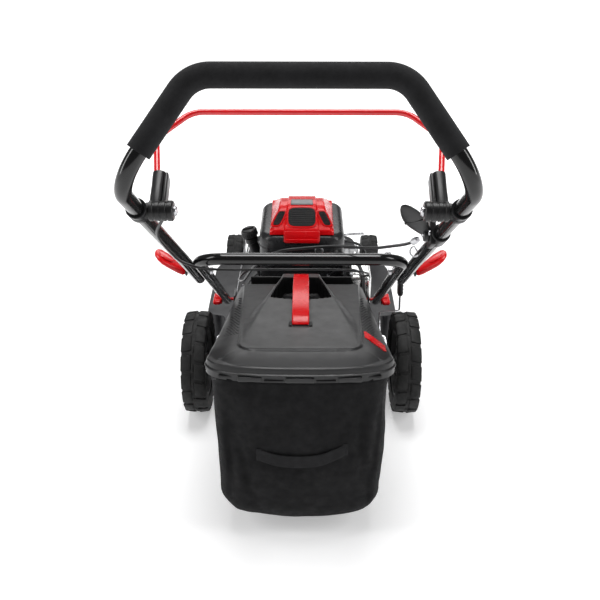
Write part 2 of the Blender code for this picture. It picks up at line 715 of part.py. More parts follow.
def make_cowl():
    """Blower housing over the flywheel, the red cover that closes it and the louvred grille."""
    def ring_at(half, rear, front, inset, z, radius):
        return rounded_rectangle(-half + inset, half - inset, rear + inset, front - inset, z,
                                 max(radius - inset, 0.004))

    def shell(name, shrink, low, high, shoulder, paint=None):
        return loft(name, dome(
            lambda inset, z: ring_at(engine_half_width, cowl_rear, cowl_front, shrink + inset, z,
                                     0.040), low, high, shoulder), paint)

    housing = home(shell("blower_housing", 0, 0.204, cowl_top, 0.030, satin_black), root)
    cut(housing, home(shell("housing_hollow", 0.0025, 0.18, cowl_top - 0.0025, 0.0275), root,
                      cutter=True))
    window = loft("housing_window_cut", [
        rounded_rectangle(-0.080, 0.080, cowl_rear + 0.028, cowl_front - 0.020, z, 0.03)
        for z in (cowl_top - 0.02, cowl_top + 0.02)])
    cut(housing, home(window, root, cutter=True))
    barrel_slot = box("housing_barrel_cut", (0.100, crank_y - 0.058, 0.18),
                      (0.130, crank_y + 0.062, 0.258))
    cut(housing, home(barrel_slot, root, cutter=True))
    oil_slot = box("housing_oil_cut", (-0.130, crank_y - 0.050, 0.18),
                   (-0.095, crank_y - 0.020, 0.300))
    cut(housing, home(oil_slot, root, cutter=True))
    rope_hole = cylinder("rope_hole_cut", 0.006, 0.04, sides=12)
    cut(housing, home(rope_hole, root, at=(0.045, cowl_rear, 0.332), turn=along_y, cutter=True))

    foot = cowl_top + gap
    rings = [(0.086, 0.220, 0.446, foot, 0.035), (0.086, 0.220, 0.446, foot + 0.005, 0.035),
             (0.064, 0.262, 0.424, cover_top - 0.006, 0.030),
             (0.056, 0.270, 0.416, cover_top, 0.026)]
    cover = home(loft("engine_cover", [ring_at(h, r, f, 0, z, c) for h, r, f, z, c in rings],
                      red_plastic), root)
    inner = loft("cover_hollow", [ring_at(h, r, f, 0.0025, z, c) for h, r, f, z, c in
                                  [(0.086, 0.220, 0.446, foot - 0.01, 0.035)] + rings[1:3]
                                  + [(0.058, 0.268, 0.418, cover_top - 0.0025, 0.026)]])
    cut(cover, home(inner, root, cutter=True))
    tongue = box("cover_tongue", (-0.046, cowl_rear - 0.0035, 0.352),
                 (0.046, cowl_rear - gap, foot + 0.0045))
    shelf = box("cover_shelf", (-0.046, cowl_rear - 0.0034, foot), (0.046, 0.234, foot + 0.0045))
    join(cover, home(tongue, root, cutter=True))
    join(cover, home(shelf, root, cutter=True))
    slope = math.atan2(cover_top - 0.006 - foot - 0.005, 0.262 - 0.220)
    middle = Vector((0, 0.241, (cover_top + foot) / 2 - 0.0008))
    tall = 0.019
    opening = box("grille_window_cut", (-0.037, -tall, -0.02), (0.037, tall, 0.02))
    cut(cover, home(opening, root, at=middle, turn=(slope, 0, 0), cutter=True))
    grille = box("cover_grille", (-0.037 + gap, -tall + gap, -0.0042),
                 (0.037 - gap, tall - gap, -0.0012), satin_black)
    home(grille, root, at=middle, turn=(slope, 0, 0))
    for i in range(5):
        slit = box(f"grille_slit_cut_{i}", (-0.032, -0.0155 + i * 0.0067, -0.01),
                   (0.032, -0.0115 + i * 0.0067, 0.01))
        cut(grille, home(slit, root, at=middle, turn=(slope, 0, 0), cutter=True))


def make_rotor():
    """Crankshaft with the flywheel above and the blade below, and the recoil drum over them."""
    radius = crankshaft_radius
    lowest = blade_height - 0.010
    shaft = cylinder("crankshaft", radius - gap, flywheel_z[1] + 0.006 - lowest - 0.020, steel, 24)
    home(shaft, crank_pivot, at=(0, crank_y, (flywheel_z[1] + 0.006 + lowest + 0.020) / 2))
    low, high = flywheel_z
    half = (high - low) / 2
    wheel = turned("flywheel", [(0.078, half), (0.078, -half), (0.068, -half), (0.064, -0.004),
                                (0.026, -0.004), (0.022, -half), (radius, -half),
                                (radius, half), (0.022, half), (0.026, 0.004), (0.064, 0.004),
                                (0.070, half)], aluminium, 20)
    home(wheel, crank_pivot, at=(0, crank_y, low + half))
    for i in range(8):
        a = math.tau * i / 8
        vane = box(f"flywheel_vane_{i}", (0.038, -0.002, 0), (0.069, 0.002, half + 0.004))
        join(wheel, home(vane, crank_pivot, at=(0, crank_y, low + half), turn=(0, 0, a),
                         cutter=True))

    top = blade_height + 0.036
    bottom = blade_height - blade_thickness / 2
    under = bottom - blade_thickness * 0 - gap
    adapter = turned("blade_adapter", [
        (0.020, top), (0.020, blade_height + 0.016), (0.030, blade_height + 0.010),
        (0.030, blade_height + blade_thickness / 2 + gap),
        (0.0060, blade_height + blade_thickness / 2 + gap), (0.0060, under),
        (0.016, under), (0.016, under - 0.003), (0.010, under - 0.003),
        (0.010, under - 0.010), (0, under - 0.010), (0, lowest + 0.0195), (radius, lowest + 0.0195),
        (radius, top)], steel, 24)
    home(adapter, crank_pivot, at=(0, crank_y, 0))

    blade = cutting_blade()
    home(blade, crank_pivot, at=(0, crank_y, blade_height))
    hole = cylinder("blade_hole_cut", 0.0060 + gap, 0.03, sides=16)
    cut(blade, home(hole, crank_pivot, at=(0, crank_y, blade_height), cutter=True))

    pulley_holder = pivot("pulley_axis", (0, crank_y, 0), root)
    low, high = pulley_z
    half = (high - low) / 2
    pulley = turned("recoil_pulley", [(0.050, half), (0.050, half - 0.004), (0.042, half - 0.006),
                                      (0.042, 0.006 - half), (0.050, 0.004 - half), (0.050, -half),
                                      (0.008, -half), (0.008, half)], satin_black, 20)
    home(pulley, pulley_holder, at=(0, crank_y, low + half))


def cutting_blade():
    """A flat bar with ground cutting edges and a raised wing at each end."""
    half, bend, reach = blade_width / 2, blade_width / 4, blade_length / 2
    thick, wing, ground_to = blade_thickness / 2, 0.014, 0.0006
    outline = [(half, -1), (half, 1), (bend, 1), (0, 1), (-bend, 1), (-half, 1), (-half, -1),
               (-bend, -1), (0, -1), (bend, -1)]
    bm = bmesh.new()
    rows = []
    for share, lift, ground in ((-1, wing, 1), (-0.86, wing, 1), (-0.76, 0, 1), (-0.56, 0, 1),
                                (-0.54, 0, 0), (0.54, 0, 0), (0.56, 0, 1), (0.76, 0, 1),
                                (0.86, wing, 1), (1, wing, 1)):
        leading = math.copysign(half, share)
        row = []
        for y, face in outline:
            z = thick * face
            if y == leading and face > 0 and ground:
                z = ground_to - thick
            if y == -leading:
                z += lift
            row.append(bm.verts.new((reach * share, y, z)))
        rows.append(row)
    for a, b in zip(rows, rows[1:]):
        for i in range(len(a)):
            bm.faces.new((a[i - 1], a[i], b[i], b[i - 1]))
    bm.faces.new(rows[0])
    bm.faces.new(rows[-1])
    return mesh_object("blade", bm, steel)


recoil_at = Vector((0.045, 0.176, 0.332))


def make_recoil_grip():
    holder = pivot("recoil_grip_pivot", recoil_at, root)
    grip = cylinder("recoil_grip", 0.011, 0.085, satin_black, 16)
    round_edges(grip, 0.003)
    home(grip, holder, at=recoil_at, turn=along_x)
    stem = cylinder("recoil_stem", 0.0065, 0.024, sides=16)
    join(grip, home(stem, holder, at=recoil_at + Vector((0, 0.016, 0)), turn=along_y,
                    cutter=True))


# ---------------------------------------------------------------- handle

def make_handle():
    """Lower legs on the brackets, upper tube folding on them, and what holds the two."""
    left = [along_slope(-0.022, -lower_half_width), along_slope(crossbar_reach, -lower_half_width)]
    path = bent(mirrored(left), [0.052, 0.052], steps=5)
    lower = home(tube("lower_handle", path, tube_radius, tube_wall, gloss_black, 3), lower_pivot)
    upper_path = mirrored(upper_path_half()[:-1])
    upper = home(tube("upper_handle", upper_path, tube_radius, tube_wall, gloss_black, 3),
                 fold_pivot)

    for side, name in ((-1, "left"), (1, "right")):
        bolt_radius = 0.0035
        lock = along_slope(lock_reach)
        tool_length = 0.10
        for piece, holder, at in ((lower, lower_pivot, lock), (upper, fold_pivot, lock),
                                  (lower, lower_pivot, handle_pivot)):
            tool = cylinder(f"{piece.name}_bolt_cut_{name}", bolt_radius + gap, tool_length,
                            sides=14)
            middle = Vector((side * (lower_half_width + 0.012), at.y, at.z))
            cut(piece, home(tool, holder, at=middle, turn=along_x, cutter=True))

        head, shank = 0.0075, bolt_radius
        inner = lower_half_width - tube_radius - gap
        outer = upper_half_width + tube_radius + 0.014
        bolt = turned("lock_bolt_" + name, [
            (shank, outer), (shank, inner), (head, inner), (head, inner - 0.005),
            (0, inner - 0.005), (0, outer)], steel, 14)
        home(bolt, lower_pivot, at=lock, turn=(0, side * math.pi / 2, 0))

        stem, hub, wing_out = 0.0035, 0.013, lower_half_width + tube_radius
        knob_axis = pivot("knob_axis_" + name, handle_pivot, root)
        knob = turned("bracket_knob_" + name, [
            (hub, wing_out + 0.016), (hub + 0.001, wing_out + gap), (stem, wing_out + gap),
            (stem, ear_inner + gap - 0.008), (0, ear_inner + gap - 0.008), (0, wing_out + 0.016)],
            red_plastic, 16)
        home(knob, knob_axis, at=handle_pivot, turn=(0, side * math.pi / 2, 0))
        wings = box("knob_wings_" + name, (-0.006, -0.024, wing_out + 0.002),
                    (0.006, 0.024, wing_out + 0.022), edge=0.005)
        join(knob, home(wings, knob_axis, at=handle_pivot, turn=(0, side * math.pi / 2, 0),
                        cutter=True))
        make_lock_lever(side, name, lock)


def make_lock_lever(side, name, lock):
    """A red cam lever on the outer end of the fold bolt."""
    inner = upper_half_width + tube_radius + gap
    middle = Vector((side * (inner + 0.0085), lock.y, lock.z))
    holder = pivot("lock_lever_axis_" + name, middle, lower_pivot)
    cam = cylinder("lock_lever_" + name, 0.0083, 0.020, red_plastic, 16)
    home(cam, holder, at=middle, turn=along_y)
    rise = Vector((side * 0.50, 0, 0.866))
    path = curve_through([middle, middle + rise * 0.024,
                          middle + rise * 0.044 + Vector((side * 0.006, 0, -0.002)),
                          middle + rise * 0.066 + Vector((side * 0.012, 0, -0.006))], 0.014)
    paddle = ribbon("lever_paddle_" + name, path, (0, 1, 0), 0.034, 0.006)
    join(cam, home(paddle, holder, cutter=True))
    # The bolt's end stays still while the cam turns round it, so the cam is forked.
    free = 0.0035 + running_gap
    fork = box("lever_fork_cut_" + name, (min(-side * 0.02, side * 0.0066), -free, -0.02),
               (max(-side * 0.02, side * 0.0066), free, 0.0066))
    cut(cam, home(fork, holder, at=middle, cutter=True))


def make_foam():
    """Foam sleeve over the upper handle's top bar and down to its corners."""
    path = [p for p in mirrored(upper_path_half()[:-1]) if p.z > grip_elbow.z]
    first, after = path[0], path[1]
    share = (foam_end_height - first.z) / (after.z - first.z)
    while share > 1:
        path = path[1:-1]
        first, after = path[0], path[1]
        share = (foam_end_height - first.z) / (after.z - first.z)
    left_end = first + (after - first) * share
    path = [left_end] + path[1:-1] + [Vector((-left_end.x, left_end.y, left_end.z))]
    sleeve = home(bar("foam_grip", path, foam_radius, foam, resolution=3), fold_pivot)
    ahead = (path[1] - path[0]).normalized() * 0.01
    tail = Vector((-ahead.x, ahead.y, ahead.z))
    longer = [path[0] - ahead] + path[1:-1] + [path[-1] - tail]
    core = bar("foam_bore_cut", longer, clear_of(tube_radius, 10), resolution=3)
    cut(sleeve, home(core, fold_pivot, cutter=True))


def make_bail():
    """Brake bail: a red rod between two drums, each held to the handle tube by a clamp."""
    pivot_at = along_slope(bail_pivot_reach)
    ahead = Vector((0, math.cos(bail_angle), math.sin(bail_angle)))

    def at(x, reach):
        return pivot_at + ahead * reach + Vector((x, 0, 0))

    left = [at(-0.196, 0.012), at(-0.196, 0.060), at(-0.203, 0.125), at(-0.155, bail_length)]
    path = bent(mirrored(left), [0.03, 0.03, 0.04, 0.04, 0.03, 0.03], steps=4)
    home(bar("bail_rod", path, bail_radius, red_paint, resolution=2), bail_pivot)
    for side, name in ((-1, "left"), (1, "right")):
        drum = cylinder("bail_hub_" + name, 0.0140, 0.034, satin_black, 20)
        home(drum, bail_pivot, at=at(side * 0.1850, 0), turn=along_x)
        sleeve = cylinder("bail_sleeve_" + name, 0.0095, 0.056, sides=16)
        join(drum, home(sleeve, bail_pivot, at=at(side * 0.1925, 0.032),
                        turn=(bail_angle - math.pi / 2, 0, 0), cutter=True))
        fin = box("bail_fin_" + name, (-0.003, -0.010, 0.005), (0.003, 0.010, 0.046))
        join(drum, home(fin, bail_pivot, at=at(side * 0.1835, 0),
                        turn=(bail_angle - math.pi / 2, 0, 0), cutter=True))
        socket = bar("bail_socket_cut_" + name,
                     [Vector((side * abs(p.x), p.y, p.z))
                      for p in [path[0] - ahead * gap] + path[1:8]],
                     clear_of(bail_radius, 8), resolution=2)
        cut(drum, home(socket, bail_pivot, cutter=True))
        bore = cylinder("bail_bore_cut_" + name, 0.0040 + running_gap, 0.06, sides=14)
        cut(drum, home(bore, bail_pivot, at=at(side * 0.1865, 0), turn=along_x, cutter=True))
        make_bail_clamp(side, name, pivot_at)


def make_bail_clamp(side, name, pivot_at):
    """A pin through the drum and the half shell that holds it to the handle tube."""
    stem, head = 0.0040, 0.0090
    clamp = turned("bail_clamp_" + name, [
        (stem, 0.2115), (stem, 0.1677), (head, 0.1677), (head, 0.1637), (0, 0.1637), (0, 0.2115)],
        steel, 16)
    home(clamp, fold_pivot, at=pivot_at, turn=(0, side * math.pi / 2, 0))
    centre, line = tube_at_reach(side, bail_pivot_reach)
    turn = line.to_track_quat("Z", "Y").to_euler()
    shell = cylinder("clamp_shell_" + name, tube_radius + 0.0030, 0.026, sides=20)
    join(clamp, home(shell, fold_pivot, at=centre, turn=turn, cutter=True))
    tool = cylinder("clamp_tube_cut_" + name, tube_radius + gap, 0.05, sides=20)
    cut(clamp, home(tool, fold_pivot, at=centre, turn=turn, cutter=True))


def tube_at_reach(side, reach):
    """Centre and direction of the upper handle's straight leg at a distance along the slope."""
    knee = along_slope(lock_reach + 0.12, upper_half_width)
    line = (grip_elbow - knee).normalized()
    start = knee - handle_pivot
    share = (reach - start.dot(slope_back)) / line.dot(slope_back)
    centre = knee + line * share
    return Vector((side * centre.x, centre.y, centre.z)), Vector((side * line.x, line.y, line.z))


def make_throttle():
    """Bracket on the right tube, the paddle lever on it and the two control cables."""
    centre, line = tube_at_reach(1, 0.800)
    turn = line.to_track_quat("Z", "Y").to_euler()
    bracket = cylinder("throttle_bracket", tube_radius + 0.0030, 0.040, satin_black, 20)
    home(bracket, fold_pivot, at=centre, turn=turn)
    x = centre.x - tube_radius
    plate = box("throttle_plate", (x - 0.0060, -0.016, -0.018), (x + 0.004, 0.020, 0.026))
    flat = Vector((0, centre.y, centre.z))
    join(bracket, home(plate, fold_pivot, at=flat, turn=(handle_slope * -1, 0, 0), cutter=True))
    pin = cylinder("throttle_pin", 0.0035, 0.020, sides=14)
    pin_at = Vector((x - 0.008, centre.y - 0.006, centre.z + 0.016))
    join(bracket, home(pin, fold_pivot, at=pin_at, turn=along_x, cutter=True))
    tool = cylinder("throttle_tube_cut", tube_radius + gap, 0.08, sides=20)
    cut(bracket, home(tool, fold_pivot, at=centre, turn=turn, cutter=True))

    holder = pivot("throttle_pivot", pin_at, fold_pivot)
    outer = x - 0.0060 - gap
    lever = cylinder("throttle_lever", 0.0120, 0.007, satin_black, 18)
    home(lever, holder, at=Vector((outer - 0.0035, pin_at.y, pin_at.z)), turn=along_x)
    rise = Vector((0, -0.78, 0.62)).normalized()
    start = Vector((outer - 0.0035, pin_at.y, pin_at.z))
    tip = start + rise * 0.105 + Vector((-0.024, 0, 0))
    blade = leaf("throttle_leaf", start, tip)
    join(lever, home(blade, holder, cutter=True))
    bore = cylinder("throttle_bore_cut", 0.0035 + running_gap, 0.06, sides=14)
    cut(lever, home(bore, holder, at=start, turn=along_x, cutter=True))


def leaf(name, start, tip):
    """A pointed paddle, widest a third of the way along."""
    line = (tip - start).normalized()
    wide = Vector((1, 0, 0)).cross(line).normalized()
    thick = line.cross(wide).normalized()
    length = (tip - start).length
    rings = []
    for share, half in ((0, 0.0075), (0.15, 0.0105), (0.40, 0.0165), (0.65, 0.0150),
                        (0.88, 0.0090), (0.98, 0.0030)):
        centre = start + line * (length * share)
        depth = 0.0036 if share < 0.9 else 0.0020
        rings.append([centre + wide * (half * math.cos(math.tau * i / 10))
                      + thick * (depth * math.sin(math.tau * i / 10)) for i in range(10)])
    return loft(name, rings)


# ---------------------------------------------------------------- grass catcher

def make_catcher():
    """Plastic lid over a fabric bag, with the frame that holds the bag open and the carrying strap."""
    holder = pivot("catcher_pivot", (0, 0, lid_rim_bottom), root)
    rear_y, front_y = catcher_rear, catcher_front + 0.032
    rim_front = -0.020

    def section(half, rear, front, z_rear, z_front, radius=0.030):
        ring = rounded_rectangle(-half, half, rear, front, 0, radius, steps=3)
        span = front - rear
        return [Vector((p.x, p.y, z_rear + (z_front - z_rear) * (p.y - rear) / span)) for p in ring]

    lid = home(loft("catcher_lid", [
        section(lid_rim_half_width, rear_y, rim_front, lid_rim_bottom, lid_rim_bottom - 0.062),
        section(lid_rim_half_width, rear_y, rim_front, lid_rim_top, lid_rim_top - 0.080),
        section(lid_rim_half_width - 0.012, rear_y + 0.014, rim_front - 0.002,
                lid_rim_top + 0.004, lid_rim_top - 0.074),
        section(0.137, rear_y + 0.055, rim_front - 0.006, 0.440, 0.366),
    ], lid_plastic), holder)
    wall = 0.003
    hollow = loft("lid_hollow", [
        section(lid_rim_half_width - wall, rear_y + wall, rim_front - wall,
                lid_rim_bottom - 0.02, lid_rim_bottom - 0.082, 0.027),
        section(lid_rim_half_width - wall, rear_y + wall, rim_front - wall,
                lid_rim_top - wall, lid_rim_top - 0.080 - wall, 0.027),
        section(lid_rim_half_width - 0.014, rear_y + 0.016, rim_front - 0.005,
                lid_rim_top + 0.001, lid_rim_top - 0.077, 0.027),
        section(0.135, rear_y + 0.057, rim_front - 0.009, 0.437, 0.363, 0.027)])
    cut(lid, home(hollow, holder, cutter=True))
    spine = loft("lid_spine", [
        [Vector((x, -0.395, z)) for x, z in ((-0.105, 0.428), (0.105, 0.428), (0.100, 0.4415),
                                             (-0.100, 0.4415))],
        [Vector((x, -0.240, z)) for x, z in ((-0.090, 0.402), (0.090, 0.402), (0.078, 0.416),
                                             (-0.078, 0.416))],
        [Vector((x, rim_front - 0.014, z)) for x, z in ((-0.060, 0.3655), (0.060, 0.3655),
                                                        (0.044, 0.3835), (-0.044, 0.3835))]])
    join(lid, home(spine, holder, cutter=True))
    def pan(name, shrink, low, high):
        rear, front = -0.168 + shrink, rim_front - 0.020 - shrink
        wide, narrow = 0.072 - shrink, 0.040 - shrink
        plan = [(wide, rear), (wide, -0.118), (narrow, front), (-narrow, front), (-wide, -0.118),
                (-wide, rear)]
        return loft(name, [[Vector((x, y, z)) for x, y in plan] for z in (low, high)])

    recess = pan("lid_recess_cut", 0, 0.356, 0.44)
    cut(lid, home(recess, holder, cutter=True))
    tray = pan("lid_recess_tray", -0.0015, 0.3515, 0.3845)
    join(lid, home(tray, holder, cutter=True))
    cut(lid, home(pan("lid_recess_inside", 0.0015, 0.3545, 0.44), holder, cutter=True))

    strap = curve_through([(0, -0.2450, 0.4245), (0, -0.2250, 0.4300), (0, -0.1650, 0.4290),
                           (0, -0.1000, 0.4170), (0, -0.0480, 0.3990), (0, -0.0330, 0.3905)],
                          0.014)
    handle = home(ribbon("catcher_handle", strap, (1, 0, 0), 0.034, 0.005, red_plastic), holder)
    round_edges(handle, 0.0015, segments=1)
    for name, y0, y1, z0, z1 in (("rear", -0.252, -0.240, 0.4192, 0.4260),
                                 ("front", -0.0365, -0.0305, 0.3845, 0.3920)):
        foot = box("handle_foot_" + name, (-0.0165, y0, z0), (0.0165, y1, z1))
        join(handle, home(foot, holder, cutter=True))

    rod = 0.0035
    top = lid_rim_bottom - 0.006
    inset = 0.010

    def frame_z(y):
        return top - 0.062 * (y - rear_y) / (rim_front - rear_y) - rod
    half = lid_rim_half_width - inset - rod
    y0, y1 = rear_y + inset + rod, rim_front - inset - 0.010
    corners = [(0, y1), (-half, y1), (-half, y0), (half, y0), (half, y1), (0.002, y1)]
    path = bent([Vector((x, y, frame_z(y))) for x, y in corners[:5]] + [
        Vector((0.004, y1, frame_z(y1)))], [0.02] * 4, steps=3)
    home(bar("catcher_frame", path, rod, steel, resolution=1), holder)
    make_bag(holder, frame_z)


def make_bag(holder, frame_z):
    """The bag hangs under the frame, open at the top and with the chute's mouth in its front."""
    rear_y, front_y = catcher_rear, catcher_front

    def ring(half, rear, front, z_of):
        points = rounded_rectangle(-half, half, rear, front, 0, 0.035, steps=3)
        return [Vector((p.x, p.y, z_of(p.y))) for p in points]

    def rim(drop):
        return lambda y: frame_z(y) - 0.0035 - gap - drop
    half = 0.1625
    front_top = catcher_front + 0.010
    outer = [ring(half - 0.018, rear_y + 0.030, front_y - 0.020, lambda y: bag_bottom),
             ring(half - 0.004, rear_y + 0.008, front_y - 0.004, lambda y: bag_bottom + 0.018),
             ring(half - 0.001, rear_y - 0.012, front_y, lambda y: 0.200),
             ring(half, rear_y + 0.006, front_top, rim(0.006)),
             ring(half, rear_y + 0.008, front_top, rim(0))]
    bag = home(loft("catcher_bag", outer, bag_fabric), holder)
    t = fabric
    inner = [ring(half - 0.018 - t, rear_y + 0.030 + t, front_y - 0.020 - t,
                  lambda y: bag_bottom + t),
             ring(half - 0.004 - t, rear_y + 0.008 + t, front_y - 0.004 - t,
                  lambda y: bag_bottom + 0.018 + t),
             ring(half - 0.001 - t, rear_y - 0.012 + t, front_y - t, lambda y: 0.200),
             ring(half - t, rear_y + 0.006 + t, front_top - t, rim(0.006)),
             ring(half - t, rear_y + 0.008 + t, front_top - t, rim(-0.03))]
    cut(bag, home(loft("bag_hollow", inner), holder, cutter=True))
    mouth = box("bag_mouth_cut", (-chute_half_width, front_y - 0.05, 0.090),
                (chute_half_width, front_y + 0.05, 0.300), edge=0.012)
    cut(bag, home(mouth, holder, cutter=True))


def make_cables():
    """Throttle and brake cables, from the levers to the crossbar and on to the engine."""
    throttle = curve_through([
        (0.1800, -0.508, 0.7080), (0.157, -0.450, 0.670), (0.122, -0.400, 0.641),
        (0.070, -0.352, 0.621), (0.004, -0.338, 0.6095), (-0.045, -0.334, 0.599),
        (-0.087, -0.300, 0.553), (-0.118, -0.200, 0.467), (-0.142, -0.050, 0.388),
        (-0.134, 0.060, 0.350), (-0.090, 0.150, 0.315), (-0.060, cowl_rear - 0.004, 0.300)],
        0.0145)
    home(wire("throttle_cable", throttle, 0.0024, satin_black, resolution=2), lower_pivot)
    slope = ((0.944, -0.185, -0.006), (0.860, -0.191, 0.0), (0.740, -0.193, 0.002),
             (0.660, -0.178, 0.014), (0.600, -0.120, 0.0152), (0.583, -0.040, 0.0148),
             (0.583, 0.060, 0.0148), (0.560, 0.106, 0.0155), (0.500, 0.124, 0.012),
             (0.360, 0.134, 0.012), (0.200, 0.138, 0.030))
    brake = curve_through([along_slope(reach, x, up) for reach, x, up in slope] + [
        Vector((0.130, 0.070, 0.350)), Vector((0.094, 0.150, 0.306)),
        Vector((0.070, cowl_rear - 0.004, 0.262))], 0.0145)
    home(wire("brake_cable", brake, 0.0024, satin_black, resolution=2), lower_pivot)


make_deck()
make_brackets()
make_flap()
make_axles()
make_height_lever()
make_engine()
make_cowl()
make_rotor()
make_recoil_grip()
make_handle()
make_foam()
make_bail()
make_throttle()
make_catcher()
make_cables()
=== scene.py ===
import json
import math

import bmesh
import bpy
from mathutils import Matrix, Vector, noise

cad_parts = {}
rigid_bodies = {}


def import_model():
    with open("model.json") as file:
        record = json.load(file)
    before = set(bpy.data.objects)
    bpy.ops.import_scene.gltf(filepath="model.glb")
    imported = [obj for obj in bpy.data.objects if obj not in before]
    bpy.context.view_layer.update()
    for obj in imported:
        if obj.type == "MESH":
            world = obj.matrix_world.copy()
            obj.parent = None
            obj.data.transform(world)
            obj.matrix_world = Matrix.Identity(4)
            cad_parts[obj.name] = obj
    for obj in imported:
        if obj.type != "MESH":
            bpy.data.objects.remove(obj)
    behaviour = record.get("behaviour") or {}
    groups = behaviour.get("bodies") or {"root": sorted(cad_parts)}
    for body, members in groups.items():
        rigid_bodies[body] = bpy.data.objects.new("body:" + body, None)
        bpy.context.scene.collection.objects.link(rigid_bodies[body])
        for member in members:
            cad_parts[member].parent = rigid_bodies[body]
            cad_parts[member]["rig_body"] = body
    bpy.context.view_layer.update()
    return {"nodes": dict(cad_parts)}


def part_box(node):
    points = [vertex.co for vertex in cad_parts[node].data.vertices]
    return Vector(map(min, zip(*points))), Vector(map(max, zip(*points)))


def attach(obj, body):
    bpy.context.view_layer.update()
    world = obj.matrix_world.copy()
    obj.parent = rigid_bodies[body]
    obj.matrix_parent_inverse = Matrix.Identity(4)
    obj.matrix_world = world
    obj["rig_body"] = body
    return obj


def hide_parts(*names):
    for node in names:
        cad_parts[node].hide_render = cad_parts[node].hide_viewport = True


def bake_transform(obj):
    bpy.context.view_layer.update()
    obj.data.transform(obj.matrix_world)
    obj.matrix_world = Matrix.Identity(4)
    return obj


for leftover in list(bpy.data.objects):
    bpy.data.objects.remove(leftover)
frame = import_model()
nodes = frame["nodes"]


def middleOf(name):
    low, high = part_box(name)
    return (low + high) / 2


axleY = middleOf("rear_wheel_left_tyre").y  # everything is measured from the rear axle


def at(x, y, z):
    return Vector((x, y + axleY, z))


# shader helpers

class Sock:
    def __init__(self, maker, outlet):
        self.maker = maker
        self.outlet = outlet

    def op(self, operation, first, second=None):
        values = {0: first} if second is None else {0: first, 1: second}
        return self.maker.node("ShaderNodeMath", {"operation": operation}, values)

    def __add__(self, other):
        return self.op("ADD", self, other)

    __radd__ = __add__

    def __sub__(self, other):
        return self.op("SUBTRACT", self, other)

    def __rsub__(self, other):
        return self.op("SUBTRACT", other, self)

    def __mul__(self, other):
        return self.op("MULTIPLY", self, other)

    __rmul__ = __mul__


class Finish:
    def __init__(self, name, colour, roughness, metallic=0.0, **fixed):
        self.material = bpy.data.materials.new(name)
        self.material.use_nodes = True
        self.material.diffuse_color = (*colour, 1)
        self.tree = self.material.node_tree
        self.shader = self.tree.nodes["Principled BSDF"]
        self.put("Base Color", (*colour, 1))
        self.put("Roughness", roughness)
        self.put("Metallic", metallic)
        for key, value in fixed.items():
            self.put(key.replace("_", " "), value)
        self.place = self.node("ShaderNodeTexCoord", {}, {}, "Object")

    def put(self, socket, value):
        target = self.shader.inputs[socket]
        if isinstance(value, Sock):
            self.tree.links.new(value.outlet, target)
        else:
            target.default_value = value

    def node(self, kind, settings, values, outlet=0):
        made = self.tree.nodes.new(kind)
        for key, value in settings.items():
            setattr(made, key, value)
        for key, value in values.items():
            if isinstance(value, Sock):
                self.tree.links.new(value.outlet, made.inputs[key])
            else:
                made.inputs[key].default_value = value
        return Sock(self, made.outputs[outlet])

    def noise(self, scale, detail=3.0, rough=0.55, stretch=None):
        place = self.place
        if stretch is not None:
            place = self.node("ShaderNodeMapping", {}, {"Vector": place, "Scale": stretch})
        return self.node("ShaderNodeTexNoise", {},
                         {"Vector": place, "Scale": scale, "Detail": detail, "Roughness": rough})

    def spread(self, value, low, high):
        return self.node("ShaderNodeMapRange", {},
                         {"Value": value, "From Min": 0.3, "From Max": 0.7, "To Min": low, "To Max": high})

    def tint(self, mask, first, second):
        return self.node("ShaderNodeMix", {"data_type": "RGBA"},
                         {0: mask, 6: (*first, 1), 7: (*second, 1)}, 2)

    def bump(self, height, strength, distance):
        self.put("Normal", self.node("ShaderNodeBump", {},
                                     {"Height": height, "Strength": strength, "Distance": distance}))

    def mottle(self, cloud, colour, dark, light):
        mask = self.spread(cloud, 0, 1)
        self.put("Base Color", self.tint(mask, shade(colour, dark), shade(colour, light)))

    def gloss(self, cloud, low, high):
        self.put("Roughness", self.spread(cloud, low, high))


def shade(colour, factor):
    return tuple(min(1.0, c * factor) for c in colour)


def moulded(name, colour, roughness, grain=900, depth=0.00012, wear=1.35, **fixed):
    made = Finish(name, colour, roughness, **fixed)
    cloud = made.noise(14, 4)
    fine = made.noise(grain, 2)
    made.put("Specular IOR Level", 0.38)
    made.mottle(cloud, colour, 0.88, wear)
    made.gloss(made.noise(45, 3), roughness - 0.04, roughness + 0.06)
    made.bump(fine, 0.55, depth)
    return made.material


def painted(name, colour, roughness, metallic=0.0, **fixed):
    made = Finish(name, colour, roughness, metallic, **fixed)
    dust = made.noise(9, 5)
    made.mottle(dust, colour, 0.86, 1.18)
    made.gloss(made.noise(60, 4), roughness - 0.04, roughness + 0.07)
    made.bump(made.noise(420, 2), 0.16, 0.00010)
    return made.material


def flakePaint(name, colour, roughness):
    made = Finish(name, colour, roughness, 0.15, Specular_IOR_Level=0.30)
    flake = made.node("ShaderNodeTexVoronoi", {}, {"Vector": made.place, "Scale": 1500.0}, "Color")
    grey = made.node("ShaderNodeRGBToBW", {}, {"Color": flake})
    made.put("Base Color", made.tint(grey, shade(colour, 0.70), shade(colour, 1.5)))
    made.gloss(made.noise(30, 4), roughness - 0.05, roughness + 0.10)
    made.bump(made.noise(240, 2), 0.12, 0.00012)
    return made.material


def drawnSteel(name, colour, roughness, stretch=(1, 40, 40), metallic=1.0):
    made = Finish(name, colour, roughness, metallic)
    lines = made.noise(40, 3, 0.6, stretch)
    made.mottle(made.noise(18, 4), colour, 0.72, 1)
    made.gloss(lines, roughness - 0.08, roughness + 0.12)
    made.bump(lines, 0.12, 0.0001)
    return made.material


